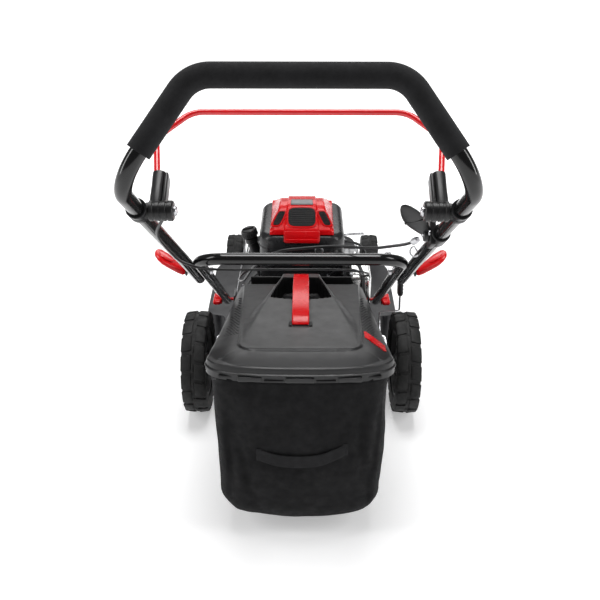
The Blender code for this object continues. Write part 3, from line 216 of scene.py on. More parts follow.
def castMetal(name, colour, roughness):
    made = Finish(name, colour, roughness, 0.9)
    sand = made.noise(650, 3, 0.7)
    made.mottle(made.noise(25, 5), colour, 0.6, 1.1)
    made.gloss(made.noise(90, 3), roughness - 0.06, roughness + 0.14)
    made.bump(sand, 0.5, 0.0003)
    return made.material


def foamRubber(name, colour):
    made = Finish(name, colour, 0.86, 0.0, Sheen_Weight=0.06, Sheen_Roughness=0.5, Specular_IOR_Level=0.15)
    cells = made.node("ShaderNodeTexVoronoi", {}, {"Vector": made.place, "Scale": 900.0}, "Distance")
    made.mottle(made.noise(30, 4), colour, 0.8, 1.25)
    made.gloss(made.noise(200, 2), 0.78, 0.94)
    made.bump(cells + made.noise(350, 3) * 0.6, 0.5, 0.0004)
    return made.material


def tyreRubber(name, colour):
    made = Finish(name, colour, 0.66, 0.0, Specular_IOR_Level=0.30)
    dirt = made.noise(22, 6, 0.65)
    made.mottle(dirt, colour, 0.7, 2.0)
    made.gloss(made.noise(75, 3), 0.50, 0.78)
    made.bump(made.noise(500, 3) + made.noise(120, 2) * 0.5, 0.4, 0.0003)
    return made.material


def wovenCloth(name, colour, thread):
    made = Finish(name, colour, 0.82, 0.0, Sheen_Weight=0.02, Sheen_Roughness=0.4, Specular_IOR_Level=0.20)
    axes = made.node("ShaderNodeSeparateXYZ", {}, {"Vector": made.place}, "X")
    parts = axes.outlet.node.outputs
    across, along, up = (Sock(made, parts[i]) for i in range(3))
    turn = math.tau / thread
    side = across + along
    warp = axes.op("SINE", side * turn)
    weft = axes.op("SINE", up * turn)
    over = axes.op("GREATER_THAN", warp * weft, 0.0)
    weave = warp * warp * over + weft * weft * (1 - over)
    worn = made.spread(made.noise(12, 5), 0, 1)
    made.put("Base Color", made.tint(weave * 0.5 + worn * 0.5, shade(colour, 0.62), shade(colour, 1.55)))
    made.gloss(made.noise(60, 3), 0.72, 0.92)
    made.bump(weave + made.noise(90, 3) * 1.5, 0.42, 0.00035)
    return made.material


finishes = {
    "tube": painted("glossTubePaint", (0.0035, 0.0035, 0.0038), 0.15),
    "black": moulded("blackMoulding", (0.0085, 0.0085, 0.0090), 0.34),
    "blackPaint": painted("blackBracketPaint", (0.014, 0.014, 0.015), 0.32),
    "red": moulded("redMoulding", (0.58, 0.0015, 0.0040), 0.24, grain=700, depth=0.00003, wear=1.06),
    "redPaint": painted("redBailPaint", (0.62, 0.004, 0.008), 0.20, Coat_Weight=0.6, Coat_Roughness=0.08),
    "plate": moulded("plateMoulding", (0.16, 0.16, 0.165), 0.35, grain=900, depth=0.00004, wear=1.05),
    "lid": moulded("lidMoulding", (0.0150, 0.0150, 0.0158), 0.37, grain=1100, depth=0.00010, wear=1.08),
    "foam": foamRubber("gripFoam", (0.013, 0.013, 0.014)),
    "cloth": wovenCloth("bagWeave", (0.0050, 0.0050, 0.0056), 0.0016),
    "webbing": wovenCloth("strapWeave", (0.0130, 0.0130, 0.0140), 0.0026),
    "deck": flakePaint("deckFlakePaint", (0.016, 0.016, 0.018), 0.34),
    "steel": drawnSteel("zincSteel", (0.62, 0.62, 0.64), 0.28),
    "bright": drawnSteel("brightShield", (0.80, 0.80, 0.79), 0.20, (30, 1, 30)),
    "cast": castMetal("castAlloy", (0.52, 0.52, 0.53), 0.46),
    "tyre": tyreRubber("tyreRubber", (0.0095, 0.0095, 0.0095)),
    "hub": moulded("hubMoulding", (0.022, 0.022, 0.023), 0.46, grain=600),
    "sheath": moulded("cableSheath", (0.012, 0.012, 0.013), 0.36, grain=1500, depth=0.00004),
    "housing": moulded("housingMoulding", (0.012, 0.012, 0.013), 0.27, grain=800, depth=0.00010),
    # painted shade: this near-black finish goes on slots, vents, the lid recess and the sheets behind the
    # cover slats, where only shade falls
    "mesh": moulded("holeShadeMoulding", (0.0040, 0.0040, 0.0045), 0.55, grain=1400),
}
print("finishes made:", len(finishes))


# shape helpers

weldGap = 0.00001
leftRight = ((-1, "Left"), (1, "Right"))


def makeObject(name, bm, finish, smooth):
    mesh = bpy.data.meshes.new(name)
    bm.to_mesh(mesh)
    bm.free()
    mesh.materials.append(finishes[finish])
    mesh.shade_smooth()
    mesh.set_sharp_from_angle(angle=math.radians(smooth))
    obj = bpy.data.objects.new(name, mesh)
    bpy.context.scene.collection.objects.link(obj)
    return obj


def finishMesh(name, bm, finish, body, smooth=32, replaces=()):
    bmesh.ops.remove_doubles(bm, verts=bm.verts, dist=weldGap)
    bmesh.ops.recalc_face_normals(bm, faces=bm.faces)
    obj = makeObject(name, bm, finish, smooth)
    if body:
        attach(obj, body)
    if replaces:
        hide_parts(*replaces)
    return obj


def addBevel(obj, width, segments, angle):
    mod = obj.modifiers.new("edges", "BEVEL")
    mod.width = width
    mod.segments = segments
    mod.limit_method = "ANGLE"
    mod.angle_limit = math.radians(angle)
    mod.harden_normals = False


def thicken(obj, wall, offset=-1):
    mod = obj.modifiers.new("wall", "SOLIDIFY")
    mod.thickness = wall
    mod.offset = offset


def fromFrame(name, finish, bevel):
    source = nodes[name]
    bm = bmesh.new()
    bm.from_mesh(source.data)
    bmesh.ops.remove_doubles(bm, verts=bm.verts, dist=weldGap)
    bmesh.ops.dissolve_limit(bm, angle_limit=math.radians(1.5), verts=bm.verts, edges=bm.edges)
    obj = makeObject(name + "Skin", bm, finish, 40)
    if bevel:
        addBevel(obj, bevel, 2, 30)
    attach(obj, source["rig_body"])
    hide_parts(name)


def growRim(bm, edges):
    grown = bmesh.ops.extrude_edge_only(bm, edges=edges)["geom"]
    fresh = [v for v in grown if isinstance(v, bmesh.types.BMVert)]
    return fresh, [e for e in grown if isinstance(e, bmesh.types.BMEdge) and all(v in fresh for v in e.verts)]


def roundEdges(bm, edges, radius, segments, profile=0.5):
    return bmesh.ops.bevel(bm, geom=edges, offset=radius, offset_type="OFFSET", segments=segments,
                           profile=profile, affect="EDGES", clamp_overlap=True, material=-1)


def upright(edge, least):
    return abs(edge.verts[0].co.z - edge.verts[1].co.z) > least


def around(centre, half):
    return centre - Vector(half), centre + Vector(half)


def turnTo(axis):
    return Vector((0, 0, 1)).rotation_difference(Vector(axis)).to_matrix()


def bendPath(points, radii, steps=12):
    points = [Vector(p) for p in points]
    made = [points[0]]
    for before, corner, after, radius in zip(points, points[1:], points[2:], radii):
        back, ahead = (before - corner).normalized(), (after - corner).normalized()
        half = back.angle(ahead) / 2
        reach = min(radius / math.tan(half), 0.48 * (before - corner).length, 0.48 * (after - corner).length)
        radius = reach * math.tan(half)
        middle = corner + (back + ahead).normalized() * (radius / math.sin(half))
        start, end = corner + back * reach - middle, corner + ahead * reach - middle
        axis = start.cross(end).normalized()
        turn = start.angle(end)
        made += [middle + Matrix.Rotation(turn * i / steps, 3, axis) @ start for i in range(steps + 1)]
    return made + [points[-1]]


def bothSides(points):
    return list(points) + [Vector((-p.x, p.y, p.z)) for p in reversed(points)]


def smoothPath(points, spacing):
    points = [Vector(p) for p in points]
    ends = [2 * points[0] - points[1]] + points + [2 * points[-1] - points[-2]]
    fine = []
    for a, b, c, d in zip(ends, ends[1:], ends[2:], ends[3:]):
        for i in range(24):
            t = i / 24
            fine.append(0.5 * ((2 * b) + (c - a) * t + (2 * a - 5 * b + 4 * c - d) * t ** 2
                               + (3 * b - a - 3 * c + d) * t ** 3))
    fine.append(points[-1])
    made = [fine[0]]
    for p in fine[1:-1]:
        if (p - made[-1]).length >= spacing:
            made.append(p)
    return made + [fine[-1]]


def tube(name, points, radius, finish, body, replaces=(), resolution=9, blend=None):
    curve = bpy.data.curves.new(name, "CURVE")
    curve.dimensions = "3D"
    spline = curve.splines.new("POLY")
    spline.points.add(len(points) - 1)
    for point, place in zip(spline.points, points):
        point.co = (*place, 1)
    curve.bevel_depth = radius
    curve.bevel_resolution = resolution
    curve.use_fill_caps = True
    holder = bpy.data.objects.new(name + "Line", curve)
    bpy.context.scene.collection.objects.link(holder)
    graph = bpy.context.evaluated_depsgraph_get()
    mesh = bpy.data.meshes.new_from_object(holder.evaluated_get(graph))
    bpy.data.objects.remove(holder)
    bm = bmesh.new()
    bm.from_mesh(mesh)
    bpy.data.meshes.remove(mesh)
    obj = finishMesh(name, bm, finish, None if blend else body, smooth=50, replaces=replaces)
    if blend:
        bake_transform(obj)
    return obj


def sweep(name, rings, finish, body, replaces=(), sides=20, smooth=40, square=2.0):
    bm = bmesh.new()
    loop = None
    for centre, wide, thick in rings:
        placed = []
        for i in range(sides):
            a = math.tau * i / sides
            c, s = math.cos(a), math.sin(a)
            c = math.copysign(abs(c) ** (2 / square), c)
            s = math.copysign(abs(s) ** (2 / square), s)
            placed.append(Vector(centre) + Vector(wide) * c + Vector(thick) * s)
        if loop is None:
            loop = bmesh.ops.create_circle(bm, cap_ends=True, segments=sides, radius=1)["verts"]
            edges = list(bm.edges)
        else:
            loop, edges = growRim(bm, edges)
        for v, place in zip(loop, placed):
            v.co = place
    bmesh.ops.contextual_create(bm, geom=edges)
    return finishMesh(name, bm, finish, body, smooth, replaces)


def block(bm, low, high, turn=None, edge=0.0, segments=2):
    low, high = Vector(low), Vector(high)
    made = bmesh.ops.create_cube(bm, size=1)["verts"]
    bmesh.ops.scale(bm, vec=high - low, verts=made)
    if edge:
        rims = list({e for v in made for e in v.link_edges})
        grown = roundEdges(bm, rims, edge, segments)
        made = list({v for f in grown["faces"] for v in f.verts} | {v for v in made if v.is_valid})
    middle = (low + high) / 2
    if turn is not None:
        bmesh.ops.rotate(bm, verts=made, cent=(0, 0, 0), matrix=turn)
    bmesh.ops.translate(bm, verts=made, vec=middle)
    return made


def slab(name, low, high, finish, body, turn=None, edge=0.0, segments=2, smooth=32, replaces=()):
    bm = bmesh.new()
    block(bm, low, high, turn, edge, segments)
    finishMesh(name, bm, finish, body, smooth, replaces)


def evenProfile(half, *middle):
    return half + list(middle) + [(r, -z) for r, z in reversed(half)]


def turned(name, profile, centre, axis, finish, body, steps=48, smooth=32, replaces=()):
    bm = bmesh.new()
    points = [bm.verts.new((r, 0, z)) for r, z in profile]
    edges = [bm.edges.new(pair) for pair in zip(points, points[1:])]
    bmesh.ops.spin(bm, geom=points + edges, cent=(0, 0, 0), axis=(0, 0, 1), angle=math.tau, steps=steps,
                   use_merge=True)
    bmesh.ops.rotate(bm, verts=bm.verts, cent=(0, 0, 0), matrix=turnTo(axis))
    bmesh.ops.translate(bm, verts=bm.verts, vec=centre)
    finishMesh(name, bm, finish, body, smooth, replaces)


def screwHead(name, place, axis, body, radius, height):
    profile = [(0, height), (radius * 0.75, height), (radius, height * 0.55), (radius, 0), (0, 0)]
    turned(name, profile, place, axis, "steel", body, 24, 30)


def smoothStep(low, high, value):
    t = min(1.0, max(0.0, (value - low) / (high - low)))
    return t * t * (3 - 2 * t)


# handle tubes

handle = {
    "radius": 0.0111, "slope": math.radians(37), "pivot": (0.0, 0.100, 0.250), "lowerHalf": 0.190,
    "crossbar": 0.586, "lock": 0.450, "upperStart": 0.350, "elbow": (0.218, -0.766, 0.903),
    "corner": (0.129, -0.700, 1.018), "foam": 0.0158, "foamEnd": 0.938,
}
upperHalf = handle["lowerHalf"] + 2 * handle["radius"] + 0.0006
slopeBack = Vector((0, -math.cos(handle["slope"]), math.sin(handle["slope"])))
slopeUp = Vector((0, math.sin(handle["slope"]), math.cos(handle["slope"])))


def onSlope(reach, x=0.0, up=0.0):
    return at(*handle["pivot"]) + slopeBack * reach + slopeUp * up + Vector((x, 0, 0))


def upperHalfPath():
    ex, ey, ez = handle["elbow"]
    cx, cy, cz = handle["corner"]
    return bendPath([onSlope(handle["upperStart"], -upperHalf), onSlope(handle["lock"] + 0.12, -upperHalf),
                     at(-ex, ey, ez), at(-cx, cy, cz), at(0, cy, cz)], [0.30, 0.055, 0.045], 14)


def legAt(side, reach):
    knee = onSlope(handle["lock"] + 0.12, upperHalf)
    line = (at(*handle["elbow"]) - knee).normalized()
    share = (reach - (knee - at(*handle["pivot"])).dot(slopeBack)) / line.dot(slopeBack)
    centre = knee + line * share
    return Vector((side * centre.x, centre.y, centre.z)), Vector((side * line.x, line.y, line.z))


def makeHandle():
    left = [onSlope(-0.022, -handle["lowerHalf"]), onSlope(handle["crossbar"], -handle["lowerHalf"])]
    tube("lowerTube", bendPath(bothSides(left), [0.052, 0.052], 16), handle["radius"], "tube",
         "lower_handle", ["lower_handle"], 12)
    path = bothSides(upperHalfPath()[:-1])
    tube("upperTube", path, handle["radius"], "tube", "upper_handle", ["upper_handle"], 12)
    for side, label in leftRight:
        end = onSlope(handle["upperStart"], side * upperHalf)
        sweep("tubePlug" + label, [(end + slopeBack * k, Vector((r, 0, 0)), slopeUp * r) for k, r in
                                   ((0.004, 0.0105), (-0.001, 0.0112), (-0.004, 0.0108), (-0.005, 0.006))],
              "black", "upper_handle")
    gripPath = [p for p in path if p.z > handle["foamEnd"]]
    first, after = [p for p in path if p.z <= handle["foamEnd"] and p.x < 0][-1], gripPath[0]
    share = (handle["foamEnd"] - first.z) / (after.z - first.z)
    start = first + (after - first) * share
    gripPath = [start] + gripPath + [Vector((-start.x, start.y, start.z))]
    grip = tube("foamSleeve", gripPath, handle["foam"], "foam", "upper_handle", ["foam_grip"], 14)
    addBevel(grip, 0.0022, 3, 60)


makeHandle()
print("handle tubes made")


# brake bail

bail = {"reach": 0.960, "angle": math.radians(32), "radius": 0.0045, "length": 0.1725}
bailPivot = onSlope(bail["reach"])
bailAhead = Vector((0, math.cos(bail["angle"]), math.sin(bail["angle"])))
bailUp = Vector((0, -math.sin(bail["angle"]), math.cos(bail["angle"])))


def onBail(x, reach, up=0.0):
    return bailPivot + bailAhead * reach + bailUp * up + Vector((x, 0, 0))


def makeBail():
    left = [onBail(-0.196, 0.030), onBail(-0.196, 0.060), onBail(-0.203, 0.125),
            onBail(-0.155, bail["length"])]
    tube("bailRod", bendPath(bothSides(left), [0.03, 0.03, 0.04, 0.04, 0.03, 0.03], 12), bail["radius"],
         "redPaint", "bail", ["bail_rod"], 8)
    for side, label in leftRight:
        out = Vector((side, 0, 0))
        drum = [(0, 0.0170), (0.0120, 0.0170), (0.0140, 0.0155), (0.0140, 0.0115), (0.0131, 0.0105),
                (0.0131, 0.0085), (0.0140, 0.0075), (0.0140, 0.0025), (0.0132, 0.0018), (0.0132, 0.0002),
                (0.0140, -0.0005), (0.0140, -0.0060), (0.0130, -0.0070), (0.0130, -0.0085),
                (0.0140, -0.0095), (0.0140, -0.0150), (0.0122, -0.0168), (0, -0.0168)]
        turned("bailDrum" + label, drum, onBail(side * 0.1850, 0), out, "black", "bail",
               replaces=["bail_hub_" + label.lower()])
        sleeve = [(onBail(side * 0.1925, reach), Vector((1, 0, 0)) * wide, bailUp * tall)
                  for reach, wide, tall in
                  ((0.006, 0.0092, 0.0112), (0.016, 0.0094, 0.0120), (0.034, 0.0090, 0.0116),
                   (0.054, 0.0094, 0.0104), (0.0605, 0.0092, 0.0098), (0.0612, 0.0070, 0.0076))]
        sweep("bailSleeve" + label, sleeve, "black", "bail", (), 28, 50, 2.6)
        slab("bailFin" + label, *around(onBail(side * 0.1815, 0.0305), (0.0028, 0.0270, 0.0105)), "black",
             "bail", Matrix.Rotation(bail["angle"], 3, "X"), 0.0024, 3, 35)
        screwHead("bailScrew" + label, onBail(side * 0.1675, 0), -out, "upper_handle", 0.0068, 0.0036)
        centre, line = legAt(side, bail["reach"])
        across = line.cross(Vector((1, 0, 0))).normalized()
        band = [(0.0113, 0.0135), (0.0136, 0.0135), (0.0144, 0.0125), (0.0144, 0.0035), (0.0136, 0.0028)]
        turned("bailBand" + label, evenProfile(band), centre, line, "black", "upper_handle",
               replaces=["bail_clamp_" + label.lower()])
        screwHead("bandScrew" + label, centre + across * 0.0140, across, "upper_handle", 0.0040, 0.0026)
        slab("bandLug" + label, centre - Vector((side * 0.0130 + 0.0035, 0.0090, 0.0090)),
             centre - Vector((side * 0.0130 - 0.0035, -0.0090, -0.0090)), "black", "upper_handle", None,
             0.002)


makeBail()
print("bail made")


# levers and cables

def makeLockLevers():
    lever = {"start": 0.006, "length": 0.072}
    lock = onSlope(handle["lock"])
    for side, label in leftRight:
        node = "lock_lever_" + label.lower()
        inner = upperHalf + handle["radius"] + 0.0088
        middle = Vector((side * inner, lock.y, lock.z))
        rise = Vector((side * 0.775, 0, 0.632)).normalized()
        over = Vector((side * 0.632, 0, -0.775)).normalized()
        wide = Vector((0, 1, 0))
        rings = []
        for share, half, thick, bow in ((0.00, 0.0060, 0.0030, 0.000), (0.04, 0.0100, 0.0060, 0.000),
                                        (0.16, 0.0120, 0.0072, 0.001), (0.34, 0.0155, 0.0072, 0.001),
                                        (0.52, 0.0198, 0.0068, 0.001), (0.70, 0.0222, 0.0060, 0.001),
                                        (0.86, 0.0205, 0.0050, 0.000), (0.96, 0.0140, 0.0036, 0.000),
                                        (1.00, 0.0060, 0.0016, 0.000)):
            centre = middle + rise * (lever["length"] * share - lever["start"]) + over * bow
            rings.append((centre, wide * half, over * thick))
        sweep("lockLever" + label, rings, "red", node, [node], 28, 60, 2.5)
        pad = []
        for share, half in ((0.46, 0.0040), (0.52, 0.0105), (0.68, 0.0138), (0.84, 0.0112), (0.90, 0.0040)):
            centre = middle + rise * (lever["length"] * share - lever["start"])
            pad.append((centre - over * (0.0066 - 0.003 * (share - 0.5)), wide * half, over * 0.0012))
        sweep("leverPad" + label, pad, "redPaint", node, (), 20, 60)
        screwHead("lockNut" + label, Vector((side * 0.1790, lock.y, lock.z)), Vector((-side, 0, 0)),
                  "lower_handle", 0.0074, 0.0052)
        washerX = side * (upperHalf + handle["radius"] + 0.0022)
        turned("lockWasher" + label, evenProfile([(0, 0.0016), (0.0096, 0.0016), (0.0104, 0.0008)]),
               Vector((washerX, lock.y, lock.z)), (side, 0, 0), "black", "lower_handle", 32)


def makeThrottle():
    centre, line = legAt(1, 0.800)
    turned("throttleBand", evenProfile([(0.0113, 0.021), (0.0134, 0.021), (0.0144, 0.0198)]), centre, line,
           "black", "upper_handle", replaces=["throttle_bracket"])
    pin = at(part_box("throttle_lever")[1].x - 0.0035, -0.5420, 0.7360)
    boss = [(0, 0.0040), (0.0105, 0.0040), (0.0120, 0.0026), (0.0120, -0.0030), (0.0105, -0.0040),
            (0, -0.0040)]
    turned("throttleBoss", boss, pin, (1, 0, 0), "black", "throttle_lever", 36)
    screwHead("throttleScrew", pin - Vector((0.0040, 0, 0)), (-1, 0, 0), "throttle_lever", 0.0052, 0.0030)
    tip = pin + Vector((-0.0440, -0.0420, 0.0660))
    along = (tip - pin).normalized()
    thick = Vector((-0.10, -0.88, -0.48)).cross(along).cross(along).normalized()
    wide = along.cross(thick).normalized()
    length = (tip - pin).length
    rings = [(pin + along * (length * s), wide * w, thick * t) for s, w, t in
             ((0.02, 0.0072, 0.0030), (0.15, 0.0106, 0.0038), (0.30, 0.0146, 0.0042), (0.45, 0.0168, 0.0042),
              (0.60, 0.0160, 0.0040), (0.75, 0.0132, 0.0036), (0.88, 0.0092, 0.0030), (0.96, 0.0052, 0.0022),
              (0.985, 0.0022, 0.0010))]
    sweep("throttleLeaf", rings, "black", "throttle_lever", ["throttle_lever"], 28, 70, 2.3)
    slab("throttleRib", *around(pin + along * (length * 0.50), (0.0165, 0.0009, 0.0046)), "black",
         "throttle_lever", Matrix((wide, along, thick)).transposed(), 0.0006)
    plateX = centre.x - handle["radius"]
    slab("throttlePlate", Vector((plateX - 0.0058, centre.y - 0.0170, centre.z - 0.0180)),
         Vector((plateX + 0.0040, centre.y + 0.0210, centre.z + 0.0250)), "black", "upper_handle",
         Matrix.Rotation(-handle["slope"], 3, "X"), 0.0022, 3)
    ferrule = at(0.1800, -0.5135, 0.7085)
    screwHead("cableFerrule", ferrule, (0.40, -0.62, 0.66), "upper_handle", 0.0056, 0.0130)
    for i, (up, back) in enumerate(((0.010, -0.012), (-0.008, 0.016))):
        screwHead(f"plateScrew{i}", Vector((plateX - 0.0056, centre.y + back, centre.z + up)), (-1, 0, 0),
                  "upper_handle", 0.0042, 0.0024)
    guide = legAt(1, 0.640)[0] + Vector((-0.0100, -0.002, 0.006))
    loop = [guide + Vector((-0.0075 * math.sin(a) - 0.006, -0.002 * a, 0.0085 * math.cos(a) + 0.002))
            for a in [i * 0.35 for i in range(16)]]
    tube("ropeGuide", [guide + Vector((0.002, 0.0, -0.004))] + loop, 0.0014, "steel", "upper_handle", (), 4)
    nut = onSlope(handle["crossbar"] - 0.014, handle["lowerHalf"] - 0.030, 0.011)
    screwHead("crossbarNut", nut, slopeUp, "lower_handle", 0.0062, 0.0048)


def makeCables():
    throttle = smoothPath([at(*p) for p in (
        (0.1840, -0.5190, 0.7140), (0.1740, -0.5000, 0.6990), (0.157, -0.450, 0.670), (0.122, -0.400, 0.641),
        (0.070, -0.352, 0.621), (0.004, -0.338, 0.6095), (-0.045, -0.334, 0.599),
        (-0.087, -0.300, 0.553), (-0.118, -0.200, 0.467), (-0.142, -0.050, 0.388),
        (-0.134, 0.060, 0.350), (-0.090, 0.150, 0.315), (-0.060, 0.208, 0.300))], 0.008)
    brake = smoothPath([onSlope(r, x, u) for r, x, u in (
        (0.944, -0.185, -0.006), (0.880, -0.205, -0.016), (0.740, -0.209, -0.0165), (0.640, -0.201, -0.017),
        (0.570, -0.160, -0.0165), (0.560, -0.040, -0.0148), (0.560, 0.060, -0.0148), (0.545, 0.106, -0.0155),
        (0.500, 0.128, -0.012), (0.360, 0.140, 0.006), (0.200, 0.140, 0.030))] + [
        at(0.130, 0.070, 0.350), at(0.094, 0.150, 0.306), at(0.070, 0.208, 0.262)], 0.008)
    for name, path, cut, node, radius in (("throttleCable", throttle, 0.0, "throttle_cable", 0.0026),
                                          ("brakeCable", brake, 0.04, "brake_cable", 0.0023)):
        split = min(range(len(path)), key=lambda i: (path[i] - onSlope(0.575, cut, 0.012)).length)
        tube(name + "Upper", path[:split + 1], radius, "sheath", None, [node], 5,
             ("upper_handle", "lower_handle", path[0], path[split]))
        tube(name + "Lower", path[split:], radius, "sheath", None, [node], 5,
             ("lower_handle", "chassis", path[split], path[-1]))
        screwHead(name + "End", path[-1] - Vector((0, 0.004, 0)), (0, 1, 0), "chassis", 0.0042, 0.0052)
    clip = onSlope(0.573, 0.100, 0.004)
    screwHead("cableClip", clip + Vector((0, 0.010, 0.002)), (0, 0.55, 0.83), "lower_handle", 0.0062, 0.0050)


makeLockLevers()
makeThrottle()
makeCables()
print("levers and cables made")


# grass catcher

lid = {
    "halfRear": 0.180, "halfFront": 0.142, "rear": -0.462, "front": -0.020, "rimTop": 0.431,
    "panelHalfRear": 0.113, "panelHalfFront": 0.131, "panelRear": -0.402, "panelCorner": 0.022,
    "panelZ": 0.440,
}


def lidLevel(y):
    return min(1.0, max(0.0, (y - lid["rear"]) / (lid["front"] - lid["rear"])))


def lidHalf(y):
    return lid["halfRear"] + (lid["halfFront"] - lid["halfRear"]) * lidLevel(y) ** 0.85


def lidPanel(t):
    return lid["panelHalfRear"] + (lid["panelHalfFront"] - lid["panelHalfRear"]) * t


def rearBow(x, y):
    return 0.026 * abs(x / lid["halfRear"]) ** 3 * (1 - lidLevel(y)) ** 4


def ridgeHalf(y):
    return 0.044 + 0.068 * max(0.0, (-0.034 - y) / 0.345) ** 0.90


def lidHeight(x, y):
    t = lidLevel(y)
    corner, panelHalf = lid["panelCorner"], lidPanel(t)
    top = lid["panelZ"] - 0.074 * t + 0.002 * math.sin(math.pi * t)
    edge = lid["rimTop"] + 0.004 - 0.079 * t
    dx, dy = abs(x) - (panelHalf - corner), (lid["panelRear"] + corner) - y
    inside = math.hypot(max(dx, 0), max(dy, 0)) - corner if dx > 0 and dy > 0 else max(dx, dy) - corner
    room = lidHalf(y) - panelHalf + 0.004
    if dy > max(dx, 0):
        room = lid["panelRear"] - lid["rear"]
    fall = min(1.0, max(0.0, inside) / max(0.006, room))
    z = top + (edge - top - 0.006) * fall ** 1.5
    z -= 0.0030 * smoothStep(0, 0.0035, inside)
    ridge = ridgeHalf(y)
    rearFade = 1 - smoothStep(-0.012, -0.001, inside) * (t < 0.4)
    lift = (0.0200 * smoothStep(0.14, 0.90, t) + 0.0006) * rearFade
    slope = 0.010 + 0.012 * smoothStep(0.9, 0.5, t)
    z += lift * (1 - smoothStep(ridge - 0.004, ridge + slope, abs(x)))
    z -= 0.010 * smoothStep(0.955, 1.0, t) * smoothStep(ridge, ridge + 0.02, abs(x))
    return z


def makeLid():
    bm = bmesh.new()
    bmesh.ops.create_grid(bm, x_segments=150, y_segments=160, size=1)
    corner = 0.030
    rear, front = lid["rear"] + 0.0035, lid["front"]
    cy, hy = (rear + front) / 2, (front - rear) / 2
    hx = lid["halfRear"]
    for v in bm.verts:
        x, y = v.co.x * hx, v.co.y * hy
        dx, dy = abs(x) - (hx - corner), abs(y) - (hy - corner)
        if dx > 0 and dy > 0:
            reach = max(dx, dy)
            length = math.hypot(dx, dy)
            x = math.copysign(hx - corner + dx * reach / length, x)
            y = math.copysign(hy - corner + dy * reach / length, y)
        y += cy
        x *= (lidHalf(y) - 0.0035) / hx
        height = lidHeight(x, y)
        y += rearBow(x, y)
        v.co = (x, y, height)
    rim = [e for e in bm.edges if e.is_boundary]
    for out, drop in ((0.0024, 0.0016), (0.0016, 0.0050), (0.0004, 0.0050), (0.0030, 0.0014),
                      (0.0004, 0.0016), (-0.0016, 0.0012), (-0.0008, 0.0100), (0.0002, 0.0040),
                      (-0.0030, 0.0010)):
        fresh, rim = growRim(bm, rim)
        for v in fresh:
            away = Vector((v.co.x / lidHalf(v.co.y), (v.co.y - cy) / hy, 0))
            away = Vector([math.copysign(abs(share) ** 14, share) for share in away])
            away = away.normalized() if away.length > 0.001 else away
            v.co += away * out - Vector((0, 0, drop))
    for v in bm.verts:
        v.co.y += axleY
    recess = {"rear": -0.165, "front": -0.044}
    gone = []
    for f in bm.faces:
        c = f.calc_center_median()
        y = c.y - axleY
        if f.normal.z > 0.05 and recess["rear"] - 0.014 * (1 - (c.x / 0.071) ** 2) < y < recess["front"] \
                and abs(c.x) < ridgeHalf(y) - 0.006:
            gone.append(f)
    bmesh.ops.delete(bm, geom=gone, context="FACES")
    inner = [e for e in bm.edges if e.is_boundary and abs(e.verts[0].co.x) < 0.09
             and -0.22 < e.verts[0].co.y - axleY < -0.030 and e.verts[0].co.z > 0.36]
    middle = at(0, -0.095, 0.38)
    for shrink, depth in ((0.0012, 0.0016), (0.0008, 0.0200), (0.0020, 0.0200), (0.0060, 0.0040)):
        fresh, inner = growRim(bm, inner)
        for v in fresh:
            away = middle - v.co
            away.z = 0
            v.co += away.normalized() * shrink
            v.co.z = max(v.co.z - depth, 0.3420)
    bmesh.ops.contextual_create(bm, geom=inner)
    obj = finishMesh("lidShell", bm, "lid", "catcher", 30, ["catcher_lid"])
    # painted shade: faces sunk into the recess under the carry strap get the near-black hole finish
    obj.data.materials.append(finishes["mesh"])
    for f in obj.data.polygons:
        c = f.center
        if abs(c.x) < 0.076 and -0.190 < c.y - axleY < -0.036 and c.z < lidHeight(c.x, c.y - axleY) - 0.0032:
            f.material_index = 1


def lidNormal(x, y):
    d = 0.003
    return Vector(((lidHeight(x - d, y) - lidHeight(x + d, y)) / (2 * d),
                   (lidHeight(x, y - d) - lidHeight(x, y + d)) / (2 * d), 1)).normalized()


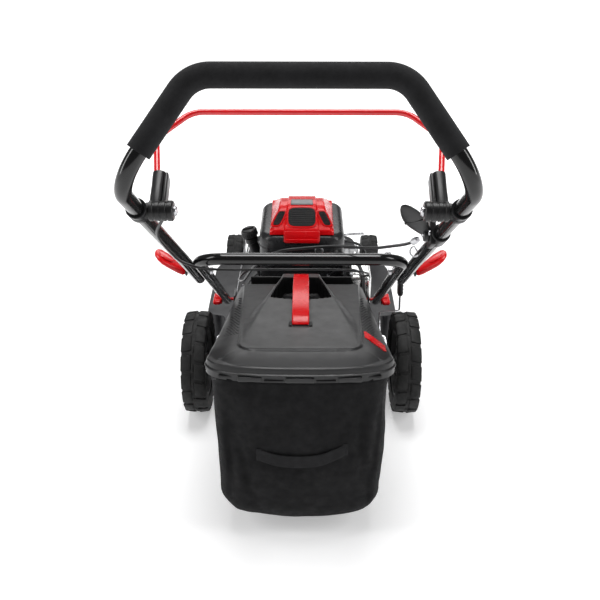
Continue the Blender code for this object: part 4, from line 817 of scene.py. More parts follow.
def makeLidDetails():
    strap = [(-0.2980, 0.0010), (-0.2950, 0.0050), (-0.2780, 0.0120), (-0.2400, 0.0190), (-0.1900, 0.0220),
             (-0.1400, 0.0190), (-0.0950, 0.0140), (-0.0580, 0.0080), (-0.0400, 0.0040), (-0.0330, 0.0006)]
    rings = []
    places = [at(0, y, lidHeight(0, y) + up) for y, up in strap]
    for i, place in enumerate(places):
        ahead = (places[min(i + 1, len(places) - 1)] - places[max(i - 1, 0)]).normalized()
        thick = Vector((1, 0, 0)).cross(ahead).normalized()
        rings.append((place, Vector((0.0172 if 0 < i < 9 else 0.0165, 0, 0)), thick * 0.0024))
    sweep("carryStrap", rings, "red", "catcher", ["catcher_handle"], 32, 50, 6.0)
    # painted shade: thin near-black blocks stand in for the shaded strap slot openings
    bm = bmesh.new()
    for side in (-1, 1):
        block(bm, at(side * 0.0205 - 0.0032, -0.3040, lidHeight(0, -0.297) - 0.0010),
              at(side * 0.0205 + 0.0032, -0.2880, lidHeight(0, -0.297) + 0.0030), None, 0.0008)
    finishMesh("strapSlots", bm, "mesh", "catcher")

    bm = bmesh.new()
    for i in range(9):
        t = i / 8
        x = 0.1290 + 0.031 * t
        y = -0.3300 - 0.046 * t
        centre = at(x, y, lidHeight(x, y) + 0.0012)
        block(bm, *around(centre, (0.0034, 0.0150, 0.0008)), turnTo(lidNormal(x, y)))
    finishMesh("lidBadge", bm, "red", "catcher", 60)

    # painted shade: the vent holes are not cut; near-black blocks on the lid surface stand in for the shade
    # inside them
    bm = bmesh.new()
    for side in (-1, 1):
        for i in range(34):
            y = -0.325 + i * 0.0076
            t = lidLevel(y)
            x0, x1 = lidPanel(t) + 0.006, lidHalf(y) - 0.010
            if x1 - x0 < 0.006:
                continue
            for k in range(int((x1 - x0) / 0.0062)):
                x = x0 + 0.0062 * k + (0.0031 if i % 2 else 0)
                if x > x1:
                    continue
                centre = at(side * x, y, lidHeight(x, y) + 0.0002)
                out = lidNormal(x, y)
                turn = turnTo((side * out.x, out.y, out.z)) @ Matrix.Rotation(side * math.radians(38), 3, "Z")
                block(bm, *around(centre, (0.0030, 0.00065, 0.0005)), turn)
    finishMesh("lidVents", bm, "mesh", "catcher", 60)

    # painted shade: near-black blocks stand in for the shade inside the rim slots
    bm = bmesh.new()
    rearY = lid["rear"]
    for x0, x1, z0, z1 in ((-0.150, -0.118, 0.4020, 0.4060), (-0.066, -0.030, 0.3990, 0.4030),
                           (0.030, 0.066, 0.3990, 0.4030), (0.118, 0.150, 0.4020, 0.4060)):
        bow = rearBow((x0 + x1) / 2, rearY)
        block(bm, at(x0, rearY + bow - 0.0044, z0), at(x1, rearY + bow + 0.0040, z1), None, 0.0004)
    finishMesh("rimSlots", bm, "mesh", "catcher", 40)
    bm = bmesh.new()
    for x0, x1 in ((-0.114, -0.070), (-0.026, 0.026), (0.070, 0.114)):
        bow = rearBow((x0 + x1) / 2, rearY)
        block(bm, at(x0, rearY + bow - 0.0062, 0.3985), at(x1, rearY + bow + 0.0040, 0.4085), None, 0.0014)
    finishMesh("rimTabs", bm, "lid", "catcher")
    line = []
    for x, y in ((-1, 0.03), (-1, 0.95), (1, 0.95), (1, 0.03)):
        place = lid["rear"] + 0.012 + (lid["front"] - lid["rear"] - 0.02) * y
        line.append(at(x * (lidHalf(place) - 0.014), place, lidHeight(0.15, place) - 0.034))
    tube("mouthFrame", bendPath(line + line[:1], [0.02, 0.02, 0.02]), 0.0038, "blackPaint", "catcher",
         ["catcher_frame"], 5)


makeLid()
makeLidDetails()
print("lid made")


def makeBag():
    bag = {"half": 0.1740, "bottom": 0.048, "front": -0.058, "rear": -0.460, "cuts": 44,
           "strapHalf": 0.62}
    bm = bmesh.new()
    bmesh.ops.create_cube(bm, size=2)
    bmesh.ops.subdivide_edges(bm, edges=list(bm.edges), cuts=bag["cuts"], use_grid_fill=True)
    top = [f for f in bm.faces if f.calc_center_median().z > 0.999]
    bmesh.ops.delete(bm, geom=top, context="FACES")
    halfY = (bag["front"] - bag["rear"]) / 2
    middleY = (bag["front"] + bag["rear"]) / 2
    radius, low = 0.042, 0.050
    for v in bm.verts:
        u, w = v.co.x, v.co.y
        hx, hy, hz = bag["half"], halfY, 0.168
        p = Vector((u * hx, w * hy, v.co.z * hz))
        q = Vector((max(-hx + radius, min(hx - radius, p.x)), max(-hy + radius, min(hy - radius, p.y)),
                    max(-hz + low, p.z)))
        away = p - q
        if away.length > 1e-9:
            reach = max(abs(away.x) / radius, abs(away.y) / radius, abs(away.z) / low)
            away = Vector((away.x / radius, away.y / radius, away.z / low)).normalized() * reach
            p = q + Vector((away.x * radius, away.y * radius, away.z * low))
        t = (p.z + hz) / (2 * hz)
        rimZ = 0.3985 - 0.070 * (p.y + middleY - bag["rear"]) / (bag["front"] + 0.010 - bag["rear"])
        z = bag["bottom"] + (rimZ - bag["bottom"]) * t
        narrow = 1 - 0.030 * (1 - t) - 0.018 * math.sin(math.pi * min(1, t * 1.1))
        y = p.y + middleY
        x = p.x * narrow * ((lidHalf(y) - 0.006) / (lid["halfRear"] - 0.006)) ** (0.4 + 0.6 * t)
        rearward = smoothStep(0.2, 1.0, -w)
        forward = smoothStep(0.2, 1.0, w)
        sideways = smoothStep(0.4, 1.0, abs(u))
        y -= rearward * (0.016 * math.sin(math.pi * (0.18 + 0.72 * t)) - 0.002) * (1 - 0.35 * u * u)
        y += rearward * 0.004 * smoothStep(0.35, 0.0, t)
        z += 0.010 * smoothStep(0.25, 0.0, t) * rearward * u * u
        y += rearBow(x, y) * 0.8
        z -= 0.016 * (1 - u * u) * smoothStep(0.30, 0.0, t) * (0.4 + 0.6 * rearward)
        fold = 0.0
        hang = math.sin(math.pi * min(1, max(0, t * 1.05)))
        for k, (place, width, depth, lean) in enumerate((
                (-0.82, 0.060, 0.0090, 0.14), (-0.66, 0.050, 0.0060, -0.20), (0.74, 0.060, 0.0085, -0.16),
                (0.88, 0.050, 0.0060, 0.12), (-0.34, 0.12, 0.0022, 0.35), (0.38, 0.13, 0.0024, -0.30))):
            line = place + lean * (t - 0.5) + 0.03 * math.sin(5 * t + k)
            fold += depth * math.exp(-((u - line) / width) ** 2) * hang
        y += rearward * (fold - 0.0018 * math.cos(6 * u) * math.sin(math.pi * t))
        ripple = noise.noise(Vector((x * 13, y * 13, z * 8))) * 0.0048 \
            + noise.noise(Vector((x * 34, y * 34, z * 20 + 4))) * 0.0014
        still = smoothStep(1.0, 0.90, t)
        y += rearward * ripple * still
        x += math.copysign(1, u) * sideways * (ripple * 1.2 - 0.0035 * math.sin(9 * (y - 0.2)) ** 2
                                               * math.sin(math.pi * t)) * still
        if abs(u) < bag["strapHalf"]:
            strapLevel = 0.53 - 0.05 * (1 - (u / bag["strapHalf"]) ** 2)
            y += rearward * 0.0022 * smoothStep(0.10, 0.0, abs(t - strapLevel))
        if forward > 0 and t < 0.9:
            y = min(y, bag["front"])
        v.co = at(x, y, z)
    mouth = [f for f in bm.faces if f.calc_center_median().y > at(0, -0.064, 0).y
             and abs(f.calc_center_median().x) < 0.120 and 0.095 < f.calc_center_median().z < 0.295]
    bmesh.ops.delete(bm, geom=mouth, context="FACES")
    obj = finishMesh("bagCloth", bm, "cloth", "catcher", 60, ["catcher_bag"])
    thicken(obj, 0.0016)
    return obj


def bagSurface(obj, x, z):
    hit, place, normal = obj.ray_cast(at(x, -0.70, z), Vector((0, 1, 0)))[:3]
    return (place, normal) if hit else (at(x, -0.462, z), Vector((0, -1, 0)))


def makeBagDetails(cloth):
    bpy.context.view_layer.update()
    rings = []
    count = 28
    for i in range(count + 1):
        u = -1 + 2 * i / count
        x = 0.083 * u + 0.004
        z = 0.2360 - 0.015 * (1 - u * u) + 0.006 * u
        place, normal = bagSurface(cloth, x, z)
        slack = 0.0060 * math.sin(math.pi * i / count) ** 0.6
        rings.append((place + normal * (0.0016 + slack), Vector((0, 0.002, 0.0122)), normal * 0.0013))
    sweep("pullStrap", rings, "webbing", "catcher", (), 24, 60, 5.0)
    for side, label in leftRight:
        place, normal = bagSurface(cloth, 0.083 * side + 0.004, 0.2360 + 0.006 * side)
        slab("strapTack" + label, *around(place + normal * 0.0016, (0.0050, 0.0010, 0.0145)), "webbing",
             "catcher", None, 0.0008, 2, 40)


makeBagDetails(makeBag())
print("bag made")


# wheels

def addRing(bm, piece, count, centre):
    bmesh.ops.spin(piece, geom=piece.verts[:] + piece.edges[:] + piece.faces[:], cent=(0, 0, 0),
                   axis=(1, 0, 0), angle=math.tau * (count - 1) / count, steps=count - 1, use_duplicate=True)
    bmesh.ops.translate(piece, verts=piece.verts, vec=centre)
    mesh = bpy.data.meshes.new("ringPattern")
    piece.to_mesh(mesh)
    piece.free()
    bm.from_mesh(mesh)
    bpy.data.meshes.remove(mesh)


def makeWheel(name, lugs, lugDepth):
    low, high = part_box(name + "_tyre")
    centre, radius, half = (low + high) / 2, (high.z - low.z) / 2, (high.x - low.x) / 2
    rim = radius * 0.66
    side = math.copysign(1, centre.x)
    label = "".join(p.capitalize() for p in name.split("_"))
    ground = radius - lugDepth
    shoulder = [(rim, half * 0.80), (rim + 0.004, half * 0.92), ((rim + ground) / 2, half * 0.985),
                (ground - 0.008, half * 0.96), (ground - 0.002, half * 0.86), (ground, half * 0.70)]
    turned(label + "Carcass", evenProfile(shoulder, (ground + 0.0004, 0)), centre, (1, 0, 0), "tyre", name,
           72, 30)

    bm = bmesh.new()
    pitch = math.tau * radius / lugs
    for edge in (-1, 1):
        wide, tall = half * 0.84, pitch * 0.78
        across = edge * (half - wide / 2 - 0.0006)
        piece = bmesh.new()
        block(piece, (across - wide / 2, -tall / 2, ground - 0.003),
              (across + wide / 2, tall / 2, radius - 0.0014), None, 0.0022)
        for v in piece.verts:
            inward = (half - abs(v.co.x)) / half
            v.co.y += (0.16 * tall) * (inward - 0.3)
            v.co.z -= 0.0030 * max(0.0, abs(v.co.x) / half - 0.62) / 0.38
        bmesh.ops.rotate(piece, verts=piece.verts, cent=(0, 0, 0),
                         matrix=Matrix.Rotation(math.tau / lugs * edge * 0.25, 3, "X"))
        addRing(bm, piece, lugs, centre)
    piece = bmesh.new()
    tall = pitch * 0.42
    block(piece, (-half * 0.10, -tall / 2, ground - 0.003), (half * 0.10, tall / 2, radius - 0.0024), None,
          0.0018)
    addRing(bm, piece, lugs, centre)
    finishMesh(label + "Lugs", bm, "tyre", name, replaces=[name + "_tyre"])

    boss, reach = 0.019, half - 0.004
    web = [(rim - 0.006, -half * 0.80), (rim - 0.009, -0.006), (boss + 0.003, -0.003),
           (boss, -reach * 0.9), (boss - 0.003, -reach), (0.0085, -reach)]
    start = (rim - 0.0002, half * 0.80)
    turned(label + "Rim", [start, (rim - 0.0004, -half * 0.80)] + evenProfile(web) + [start], centre,
           (1, 0, 0), "hub", name, 72, 30, [name + "_hub"])
    bm = bmesh.new()
    piece = bmesh.new()
    spokes = 10
    block(piece, (-half * 0.62, -0.0022, boss - 0.001), (half * 0.62, 0.0022, rim - 0.005), None, 0.0009)
    for v in piece.verts:
        share = (v.co.z - boss) / (rim - boss)
        v.co.x *= 1 - 0.45 * math.sin(math.pi * min(1.0, max(0.0, share)))
    addRing(bm, piece, spokes, centre)
    finishMesh(label + "Spokes", bm, "hub", name)
    turned(label + "Cap", [(0, 0.0036), (0.010, 0.0034), (0.0165, 0.0018), (0.0172, 0.0), (0, 0.0)],
           centre + Vector((side * reach, 0, 0)), (side, 0, 0), "black", name)


for wheel, lugCount, depth in (("rear_wheel_left", 17, 0.0040), ("rear_wheel_right", 17, 0.0040),
                               ("front_wheel_left", 15, 0.0032), ("front_wheel_right", 15, 0.0032)):
    makeWheel(wheel, lugCount, depth)
print("wheels made")


# deck

def makeDeck():
    deck = {"top": 0.150, "skirt": 0.034, "half": 0.255, "rearHalf": 0.205, "noseHalf": 0.164,
            "rear": -0.030, "front": 0.690, "sideRear": 0.1849, "sideFront": 0.522, "shoulder": 0.028,
            "wall": 0.003}
    right = [(deck["rearHalf"], deck["rear"]), (deck["rearHalf"], deck["sideRear"]),
             (deck["half"], deck["sideRear"]), (deck["half"], deck["sideFront"]),
             (deck["noseHalf"], deck["sideFront"]), (deck["noseHalf"], deck["front"])]
    radii = [0.012, 0.018, 0.050, 0.080, 0.020, 0.050]
    bm = bmesh.new()
    corners = [bm.verts.new(at(x, y, deck["skirt"])) for x, y in right]
    corners += [bm.verts.new(at(-x, y, deck["skirt"])) for x, y in reversed(right)]
    floor = bm.faces.new(corners)
    grown = bmesh.ops.extrude_face_region(bm, geom=[floor])["geom"]
    bmesh.ops.translate(bm, verts=[v for v in grown if isinstance(v, bmesh.types.BMVert)],
                        vec=(0, 0, deck["top"] - deck["skirt"]))
    bmesh.ops.recalc_face_normals(bm, faces=bm.faces)
    for (x, y), radius in zip(right, radii):
        for s in (-1, 1):
            spot = at(s * x, y, 0)
            posts = [e for e in bm.edges if upright(e, 0.05) and (e.verts[0].co.xy - spot.xy).length < 0.0005]
            roundEdges(bm, posts, radius, 8)
    topEdges = [e for e in bm.edges if all(abs(v.co.z - deck["top"]) < 0.0001 for v in e.verts)
                and len(e.link_faces) == 2 and any(abs(f.normal.z) < 0.5 for f in e.link_faces)]
    roundEdges(bm, topEdges, 0.016, 7)
    under = [f for f in bm.faces if f.normal.z < -0.9]
    bmesh.ops.delete(bm, geom=under, context="FACES")
    for place, out in (((-0.125, 0, 0), (1, 0, 0)), ((0.125, 0, 0), (1, 0, 0)),
                       ((0, 0, 0.056), (0, 0, 1)), ((0, 0, 0.132), (0, 0, 1))):
        bmesh.ops.bisect_plane(bm, geom=bm.verts[:] + bm.edges[:] + bm.faces[:], dist=weldGap,
                               plane_co=place, plane_no=out)
    backY = at(0, deck["rear"], 0).y
    chute = [f for f in bm.faces if abs(f.calc_center_median().y - backY) < 0.002
             and abs(f.calc_center_median().x) < 0.124 and 0.056 < f.calc_center_median().z < 0.132]
    bmesh.ops.delete(bm, geom=chute, context="FACES")
    for v in bm.verts:
        if v.co.z < deck["skirt"] + 0.0005:
            v.co.z = deck["skirt"]
    thicken(finishMesh("deckShell", bm, "deck", "chassis", 32, ["deck"]), deck["wall"])
    ring = [(0.170, 0.0), (0.170, 0.004), (0.163, 0.0052), (0.156, 0.004), (0.156, 0.0)]
    turned("deckRib", ring, at(0, 0.335, deck["top"] - 0.0012), (0, 0, 1), "deck", "chassis", 96, 40)
    for i, (x, y) in enumerate(((-0.066, 0.252), (0.066, 0.252), (-0.066, 0.418), (0.066, 0.418))):
        screwHead(f"deckBolt{i}", at(x * 1.6, y, deck["top"]), (0, 0, 1), "chassis", 0.0070, 0.0050)


makeDeck()
print("deck made")


# engine

def makeEngineCover():
    cover = {"half": 0.083, "foot": 0.3723, "columns": 120, "rows": 110, "proud": 0.0050,
             "round": 0.008, "fall": 0.007}
    spine = [(0.00, 0.2190, 0.3727, 0.0800, 0.0460), (0.06, 0.2205, 0.3850, 0.0790, 0.0450),
             (0.14, 0.2320, 0.3960, 0.0745, 0.0430), (0.34, 0.2600, 0.4270, 0.0640, 0.0385),
             (0.42, 0.2720, 0.4325, 0.0615, 0.0370), (0.52, 0.2950, 0.4345, 0.0600, 0.0360),
             (0.66, 0.3350, 0.4270, 0.0600, 0.0360), (0.82, 0.3850, 0.4070, 0.0640, 0.0370),
             (0.94, 0.4300, 0.3850, 0.0720, 0.0390), (1.00, 0.4460, 0.3727, 0.0780, 0.0400)]

    def along(v):
        for low, high in zip(spine, spine[1:]):
            if v <= high[0]:
                t = (v - low[0]) / (high[0] - low[0])
                return [a + (b - a) * t for a, b in zip(low[1:], high[1:])]
        return list(spine[-1][1:])

    def onCover(u, v):
        y, z, half, centre = along(v)
        s, tall = abs(u), z - cover["foot"]
        drop = min(1.0, tall / 0.02)
        if s < 0.74:
            x, down = s / 0.74 * (half - cover["round"]), 0
        elif s < 0.86:
            turn = (s - 0.74) / 0.12 * math.pi / 2
            x = half - cover["round"] + cover["round"] * math.sin(turn)
            down = cover["fall"] * drop * (1 - math.cos(turn))
        else:
            t = (s - 0.86) / 0.14
            x = half + (cover["half"] - half) * t
            down = cover["fall"] * drop + max(0, tall - cover["fall"] * drop - 0.009) * t
        before, after = along(max(0, v - 0.02)), along(min(1, v + 0.02))
        slope = Vector((0, after[0] - before[0], after[1] - before[1])).normalized()
        out = Vector((0, -slope.z, slope.y))
        lift = cover["proud"] * (1 - smoothStep(centre - 0.0012, centre + 0.0012, x))
        return at(math.copysign(x, u), y, z - down) + out * lift, out

    bm = bmesh.new()
    bmesh.ops.create_grid(bm, x_segments=cover["columns"], y_segments=cover["rows"], size=1)
    for v in bm.verts:
        v.co = onCover(v.co.x, (v.co.y + 1) / 2)[0]
    thicken(finishMesh("coverShell", bm, "red", "chassis", 38, ["engine_cover"]), 0.0022)

    def window(name, u, v0, v1, wide, lean, slats, replaces=()):
        low, high = onCover(u, v0)[0], onCover(u, v1)[0]
        rise = (high - low).normalized()
        tall = (high - low).length / 2
        side = Vector((1, 0, 0))
        out = side.cross(rise).normalized()
        middle = (low + high) / 2
        rise = (rise + Vector((lean, 0, 0))).normalized()
        rings = [(middle + out * k, side * (wide + grow), rise * (tall + grow)) for k, grow in
                 ((-0.0030, 0.0050), (0.0012, 0.0050), (0.0024, 0.0040), (0.0026, 0.0012), (0.0014, 0.0004))]
        sweep(name + "Frame", rings, "red", "chassis", (), 64, 36, 4.2)
        # painted shade: a near-black sheet under the slats stands in for the shade behind the louvre opening
        sweep(name + "Back", [(middle + out * k, side * wide, rise * tall) for k in (0.0010, 0.0018)], "mesh",
              "chassis", (), 64, 36, 4.2)
        bm = bmesh.new()
        turn = Matrix((side, rise, out)).transposed()
        step = 2 * tall / slats
        for i in range(slats):
            h = -tall + step * (i + 0.5)
            half = wide * max(0.0, 1 - abs(h / tall) ** 4.2) ** (1 / 4.2) - 0.0008
            centre = middle + rise * h + out * 0.0028
            if half > 0.003:
                block(bm, *around(centre, (half, step * 0.20, 0.0007)), turn, 0.0003, 1)
        finishMesh(name + "Slats", bm, "black", "chassis", 36, replaces)

    window("mainWindow", 0.0, 0.105, 0.345, 0.0350, 0.0, 10, ["cover_grille"])
    for side, label in leftRight:
        window("sideWindow" + label, side * 0.70, 0.125, 0.315, 0.0092, -side * 0.20, 9)
    bm = bmesh.new()
    bmesh.ops.create_grid(bm, x_segments=24, y_segments=10, size=1)
    for v in bm.verts:
        v.co = onCover(v.co.x * 0.395, 0.455 + 0.055 * v.co.y)[0] + Vector((0, -0.0002, 0.0008))
    thicken(finishMesh("crownPlate", bm, "plate", "chassis", 34), 0.0012, 1)
    bm = bmesh.new()
    block(bm, at(-0.0470, 0.2080, 0.3560), at(0.0470, 0.2240, 0.3860), None, 0.0030, 3)
    for v in bm.verts:
        if v.co.z > 0.370:
            v.co.y += (v.co.z - 0.370) * 0.45
    finishMesh("coverTongue", bm, "red", "chassis", 34)
    slab("tongueStep", at(-0.0440, 0.2066, 0.3548), at(0.0440, 0.2100, 0.3650), "red", "chassis", None,
         0.0012, 2, 34)
    for side, label in leftRight:
        screwHead("coverScrew" + label, at(side * 0.0930, 0.240, 0.3660), (side * 0.35, -0.5, 0.80),
                  "chassis", 0.0055, 0.0034)


def makeHousing():
    housing = {"half": 0.112, "rear": 0.212, "front": 0.452, "low": 0.204, "top": 0.372,
               "corner": 0.040}
    bm = bmesh.new()
    block(bm, at(-housing["half"], housing["rear"], housing["low"]),
          at(housing["half"], housing["front"], housing["top"]))
    roundEdges(bm, [e for e in bm.edges if upright(e, 0.05)], housing["corner"], 10)
    top = [e for e in bm.edges if all(v.co.z > housing["top"] - 0.0001 for v in e.verts)]
    roundEdges(bm, top, 0.026, 5, 0.62)
    under = [f for f in bm.faces if f.normal.z < -0.9]
    bmesh.ops.delete(bm, geom=under, context="FACES")
    thicken(finishMesh("housingShell", bm, "housing", "chassis", 30, ["blower_housing"]), 0.0025)
    for i, z in enumerate((0.3330, 0.2450)):
        bm = bmesh.new()
        outline = bmesh.ops.create_cube(bm, size=1)["verts"]
        length = housing["front"] - housing["rear"]
        bmesh.ops.scale(bm, vec=(2 * housing["half"] + 0.0016, length + 0.0016, 0.0022), verts=outline)
        roundEdges(bm, [e for e in bm.edges if upright(e, 0.001)], housing["corner"], 10)
        bmesh.ops.translate(bm, verts=bm.verts, vec=at(0, (housing["front"] + housing["rear"]) / 2, z))
        finishMesh(f"housingBead{i}", bm, "housing", "chassis", 30)
    for i, (x, y) in enumerate(((-0.118, 0.27), (-0.118, 0.39), (0.118, 0.41))):
        slab(f"housingEar{i}", at(x - 0.008, y - 0.009, 0.262), at(x + 0.008, y + 0.009, 0.268), "housing",
             "chassis", None, 0.002, 2, 30)
        screwHead(f"housingBolt{i}", at(x, y, 0.268), (0, 0, 1), "chassis", 0.0050, 0.0040)


def makeOilFiller():
    mouth = at(-0.139, 0.300, 0.331)
    lean = math.atan2(-0.139 + 0.105, 0.331 - 0.205)
    up = Vector((math.sin(lean), 0, math.cos(lean)))
    cap = [(0, 0.0225), (0.0170, 0.0225), (0.0202, 0.0205), (0.0212, 0.0170), (0.0212, 0.0020),
           (0.0196, 0.0004), (0, 0.0004)]
    turned("oilCapBody", cap, mouth, up, "black", "oil_cap", 48, 32, ["oil_cap"])
    bm = bmesh.new()
    ribs = 24
    for i in range(ribs):
        turn = turnTo(up) @ Matrix.Rotation(math.tau * i / ribs, 3, "Z")
        centre = mouth + up * 0.0095 + turn @ Vector((0.0210, 0, 0))
        block(bm, *around(centre, (0.0012, 0.0014, 0.0072)), turn, 0.0005, 1)
    block(bm, *around(mouth + up * 0.0236, (0.0150, 0.0030, 0.0024)), turnTo(up), 0.0010)
    finishMesh("oilCapGrips", bm, "black", "oil_cap")
    path = bendPath([at(-0.0890, 0.300, 0.205), at(-0.105, 0.300, 0.205), mouth], [0.013], 10)
    tube("oilFillerTube", path, 0.0140, "black", "chassis", ["oil_tube"], 10)
    turned("oilTubeCollar", [(0.0140, 0.008), (0.0172, 0.0070), (0.0172, -0.0062), (0.0140, -0.008)],
           mouth - up * 0.010, up, "black", "chassis", 36)


def makeMuffler():
    low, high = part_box("muffler")
    slab("mufflerBody", low + Vector((0.002, 0.002, 0)), high - Vector((0.002, 0.002, 0.002)), "bright",
         "chassis", None, 0.014, 5, 32, ["muffler"])
    # painted shade: near-black blocks on the shield stand in for the shade inside its slots
    bm = bmesh.new()
    for i in range(5):
        for k in range(3):
            y = low.y + 0.020 + i * 0.020
            z = low.z + 0.024 + k * 0.022
            block(bm, Vector((high.x - 0.0030, y, z)), Vector((high.x - 0.0008, y + 0.012, z + 0.006)), None,
                  0.0008, 1)
    finishMesh("mufflerSlots", bm, "mesh", "chassis")
    bm = bmesh.new()
    for i in range(4):
        x = low.x + 0.012 + i * 0.0125
        block(bm, Vector((x, low.y + 0.014, high.z - 0.0030)),
              Vector((x + 0.006, high.y - 0.014, high.z - 0.0012)), None, 0.0010, 1)
    finishMesh("mufflerRibs", bm, "bright", "chassis")
    for i, y in enumerate((low.y + 0.012, high.y - 0.012)):
        screwHead(f"mufflerBolt{i}", Vector((low.x + 0.010, y, high.z - 0.002)), (0, 0, 1), "chassis", 0.0050,
                  0.0045)
    hose = smoothPath([at(0.100, 0.258, 0.300), at(0.124, 0.215, 0.312), at(0.150, 0.160, 0.308),
                       at(0.158, 0.120, 0.270), at(0.150, 0.100, 0.205), at(0.140, 0.112, 0.1545)], 0.006)
    tube("breatherHose", hose, 0.0046, "sheath", "chassis", (), 6)
    lead = smoothPath([at(0.172, 0.355, 0.214), at(0.178, 0.352, 0.250), at(0.160, 0.340, 0.285),
                       at(0.130, 0.330, 0.300), at(0.108, 0.325, 0.305)], 0.006)
    tube("plugLead", lead, 0.0034, "sheath", "chassis", (), 6)
    boot = [(0, 0.012), (0.0075, 0.012), (0.0095, 0.009), (0.0095, -0.006), (0.0082, -0.012), (0, -0.012)]
    turned("plugBoot", boot, at(0.171, 0.355, 0.210), (1, 0, 0), "black", "chassis", 28)
    for i, (z, x0, x1) in enumerate(((0.3360, 0.100, 0.166), (0.3270, 0.096, 0.170))):
        stay = [at(x0, 0.300 + 0.012 * i, z), at((x0 + x1) / 2, 0.306 + 0.012 * i, z + 0.0004),
                at(x1, 0.312 + 0.012 * i, z)]
        tube(f"stayRod{i}", smoothPath(stay, 0.008), 0.0018, "steel", "chassis", (), 4)
    slab("stayBracket", at(0.096, 0.290, 0.318), at(0.1040, 0.325, 0.342), "steel", "chassis", None, 0.002)


def makeStarter():
    rings = []
    for share, radius in ((-1.0, 0.0070), (-0.94, 0.0102), (-0.6, 0.0110), (-0.2, 0.0098), (0.2, 0.0098),
                          (0.6, 0.0110), (0.94, 0.0102), (1.0, 0.0070)):
        rings.append((at(0.045 + share * 0.0424, 0.176, 0.332), Vector((0, radius, 0)),
                      Vector((0, 0, radius))))
    sweep("starterGrip", rings, "black", "recoil_grip", ["recoil_grip"], 28, 50)
    neck = [(0, 0.014), (0.0062, 0.014), (0.0068, 0.010), (0.0068, -0.010), (0, -0.010)]
    turned("starterNeck", neck, at(0.045, 0.190, 0.332), (0, 1, 0), "black", "recoil_grip", 28)
    eyelet = [(0.0058, 0.0), (0.0110, 0.0), (0.0118, -0.003), (0.0100, -0.006), (0.0058, -0.006)]
    turned("ropeEyelet", eyelet, at(0.045, 0.2118, 0.332), (0, 1, 0), "steel", "chassis", 32)


makeHousing()
makeEngineCover()
makeOilFiller()
makeMuffler()
makeStarter()
print("engine made")


# pieces that keep the frame's own shape, some with softened edges

softened = {
    "steel": ["flap_rod", "rear_axle", "front_axle", "height_lever", "height_link", "lock_bolt_left",
              "lock_bolt_right", "crankshaft", "blade_adapter", "spark_plug", "flap_spring"],
    "blackPaint": ["handle_bracket_left", "handle_bracket_right", "blade"],
    "black": ["rear_flap", "air_filter_box", "fuel_tank", "fuel_cap", "height_grip", "recoil_pulley"],
    "cast": ["engine_block", "cylinder_head", "carburettor", "flywheel"],
    "red": ["bracket_knob_left", "bracket_knob_right"],
}
for finish, names in softened.items():
    for name in names:
        width = 0.0
        if name in ("handle_bracket_left", "handle_bracket_right", "height_link", "height_lever", "blade"):
            width = 0.0004
        if name in ("engine_block", "cylinder_head", "air_filter_box", "fuel_tank", "bracket_knob_left",
                    "bracket_knob_right", "rear_flap"):
            width = 0.0010
        fromFrame(name, finish, width)
print("frame pieces finished")


def makeSmallParts():
    for side, label in leftRight:
        for i, y in enumerate((0.050, 0.118)):
            screwHead(f"bracketBolt{label}{i}", at(side * 0.1658, y, 0.1815), (-side, 0, 0), "chassis",
                      0.0058, 0.0040)
        screwHead("pivotNut" + label, at(side * 0.1576, 0.100, 0.250), (-side, 0, 0),
                  "bracket_knob_" + label.lower(), 0.0062, 0.0050)
        for where, y, z in (("Rear", 0.0, 0.127), ("Front", 0.620, 0.088)):
            axle = where.lower() + "_axle"
            low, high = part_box(axle)
            outer = high.x if side > 0 else low.x
            screwHead(f"axleNut{where}{label}", Vector((outer - side * 0.0050, at(0, y, 0).y, z)),
                      (side, 0, 0), axle, 0.0090, 0.0045)
    hook = [at(-0.160, 0.030, 0.246), at(-0.158, 0.036, 0.256), at(-0.155, 0.040, 0.268)]
    tube("springHook", smoothPath(hook, 0.003), 0.0011, "steel", "chassis", (), 4)
    bm = bmesh.new()
    for i in range(7):
        z = 0.262 + i * 0.0085
        block(bm, at(0.2448, 0.1220 + i * 0.0021, z) - Vector((0.0004, 0.0100, 0.0014)),
              at(0.2582, 0.1220 + i * 0.0021, z) + Vector((0.0004, 0.0100, 0.0014)), None, 0.0006, 1)
    finishMesh("heightGripRibs", bm, "black", "rear_axle")


makeSmallParts()
print("small parts made")


# floor, light and camera

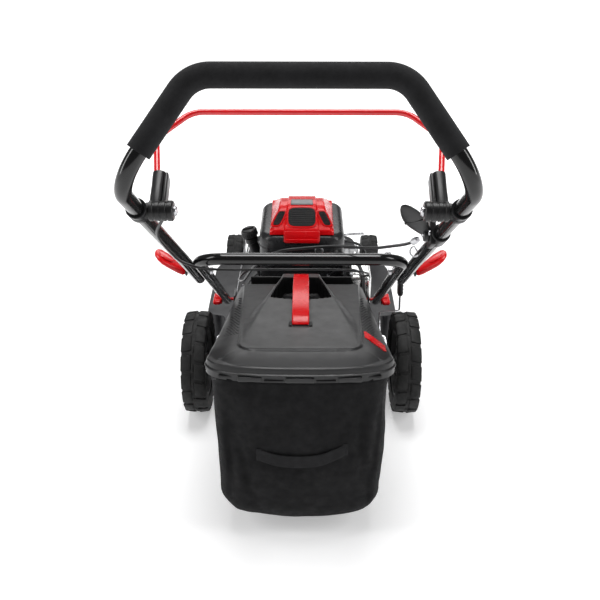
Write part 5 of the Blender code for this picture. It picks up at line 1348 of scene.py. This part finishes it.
def makeStage():
    bm = bmesh.new()
    bmesh.ops.create_grid(bm, x_segments=2, y_segments=2, size=30)
    mesh = bpy.data.meshes.new("studioFloor")
    bm.to_mesh(mesh)
    bm.free()
    # painted light: the floor glows by emission, dim near the mower and brightening outward so the far floor
    # reads white
    floorGlowFinish = Finish("studioFloorGlow", (0.88, 0.88, 0.885), 0.75, 0.0, Emission_Strength=1.0)
    reach = floorGlowFinish.node("ShaderNodeVectorMath", {"operation": "LENGTH"}, {0: floorGlowFinish.place}, "Value")
    glow = floorGlowFinish.node("ShaderNodeMapRange", {}, {"Value": reach, "From Min": 0.5, "From Max": 3.2,
                                                      "To Min": 0.36, "To Max": 0.96})
    floorGlowFinish.put("Emission Color", floorGlowFinish.tint(glow, (0, 0, 0), (1, 1, 1)))
    mesh.materials.append(floorGlowFinish.material)
    floor = bpy.data.objects.new("studioFloor", mesh)
    bpy.context.scene.collection.objects.link(floor)

    world = bpy.data.worlds.new("studioWorld")
    world.use_nodes = True
    tree = world.node_tree
    around = tree.nodes["Background"]
    around.inputs["Color"].default_value = (1, 1, 1, 1)
    around.inputs["Strength"].default_value = 0.16
    behind = tree.nodes.new("ShaderNodeBackground")
    behind.inputs["Strength"].default_value = 1.0
    rays = tree.nodes.new("ShaderNodeLightPath")
    mixer = tree.nodes.new("ShaderNodeMixShader")
    tree.links.new(rays.outputs["Is Camera Ray"], mixer.inputs[0])
    tree.links.new(around.outputs[0], mixer.inputs[1])
    tree.links.new(behind.outputs[0], mixer.inputs[2])
    tree.links.new(mixer.outputs[0], tree.nodes["World Output"].inputs[0])
    bpy.context.scene.world = world

    def softLight(name, place, target, size, power):
        data = bpy.data.lights.new(name, "AREA")
        data.shape = "RECTANGLE"
        data.size, data.size_y = size
        data.energy = power
        light = bpy.data.objects.new(name, data)
        light.location = place
        light.rotation_euler = (Vector(target) - Vector(place)).to_track_quat("-Z", "Y").to_euler()
        bpy.context.scene.collection.objects.link(light)

    softLight("overheadSoftbox", (0, 0.1, 3.2), (0, 0, 0.3), (1.5, 1.5), 62)
    softLight("leftStrip", (-2.2, -0.9, 1.7), (0, -0.2, 0.4), (0.5, 2.2), 26)
    softLight("rightStrip", (2.2, -0.9, 1.7), (0, -0.2, 0.4), (0.5, 2.2), 26)
    softLight("frontSoftbox", (0, 2.6, 2.0), (0, 0.2, 0.3), (2.4, 1.2), 26)


def makeCamera():
    data = bpy.data.cameras.new("viewCamera")
    data.lens = 48
    data.sensor_width = 36
    camera = bpy.data.objects.new("viewCamera", data)
    camera.location = at(0.0087, -1.6585, 1.2624)
    camera.rotation_euler = (math.radians(60), 0, math.radians(0.41))
    bpy.context.scene.collection.objects.link(camera)
    bpy.context.scene.camera = camera
    bpy.context.scene.view_settings.view_transform = "Standard"


makeStage()
makeCamera()
print("stage and camera made")
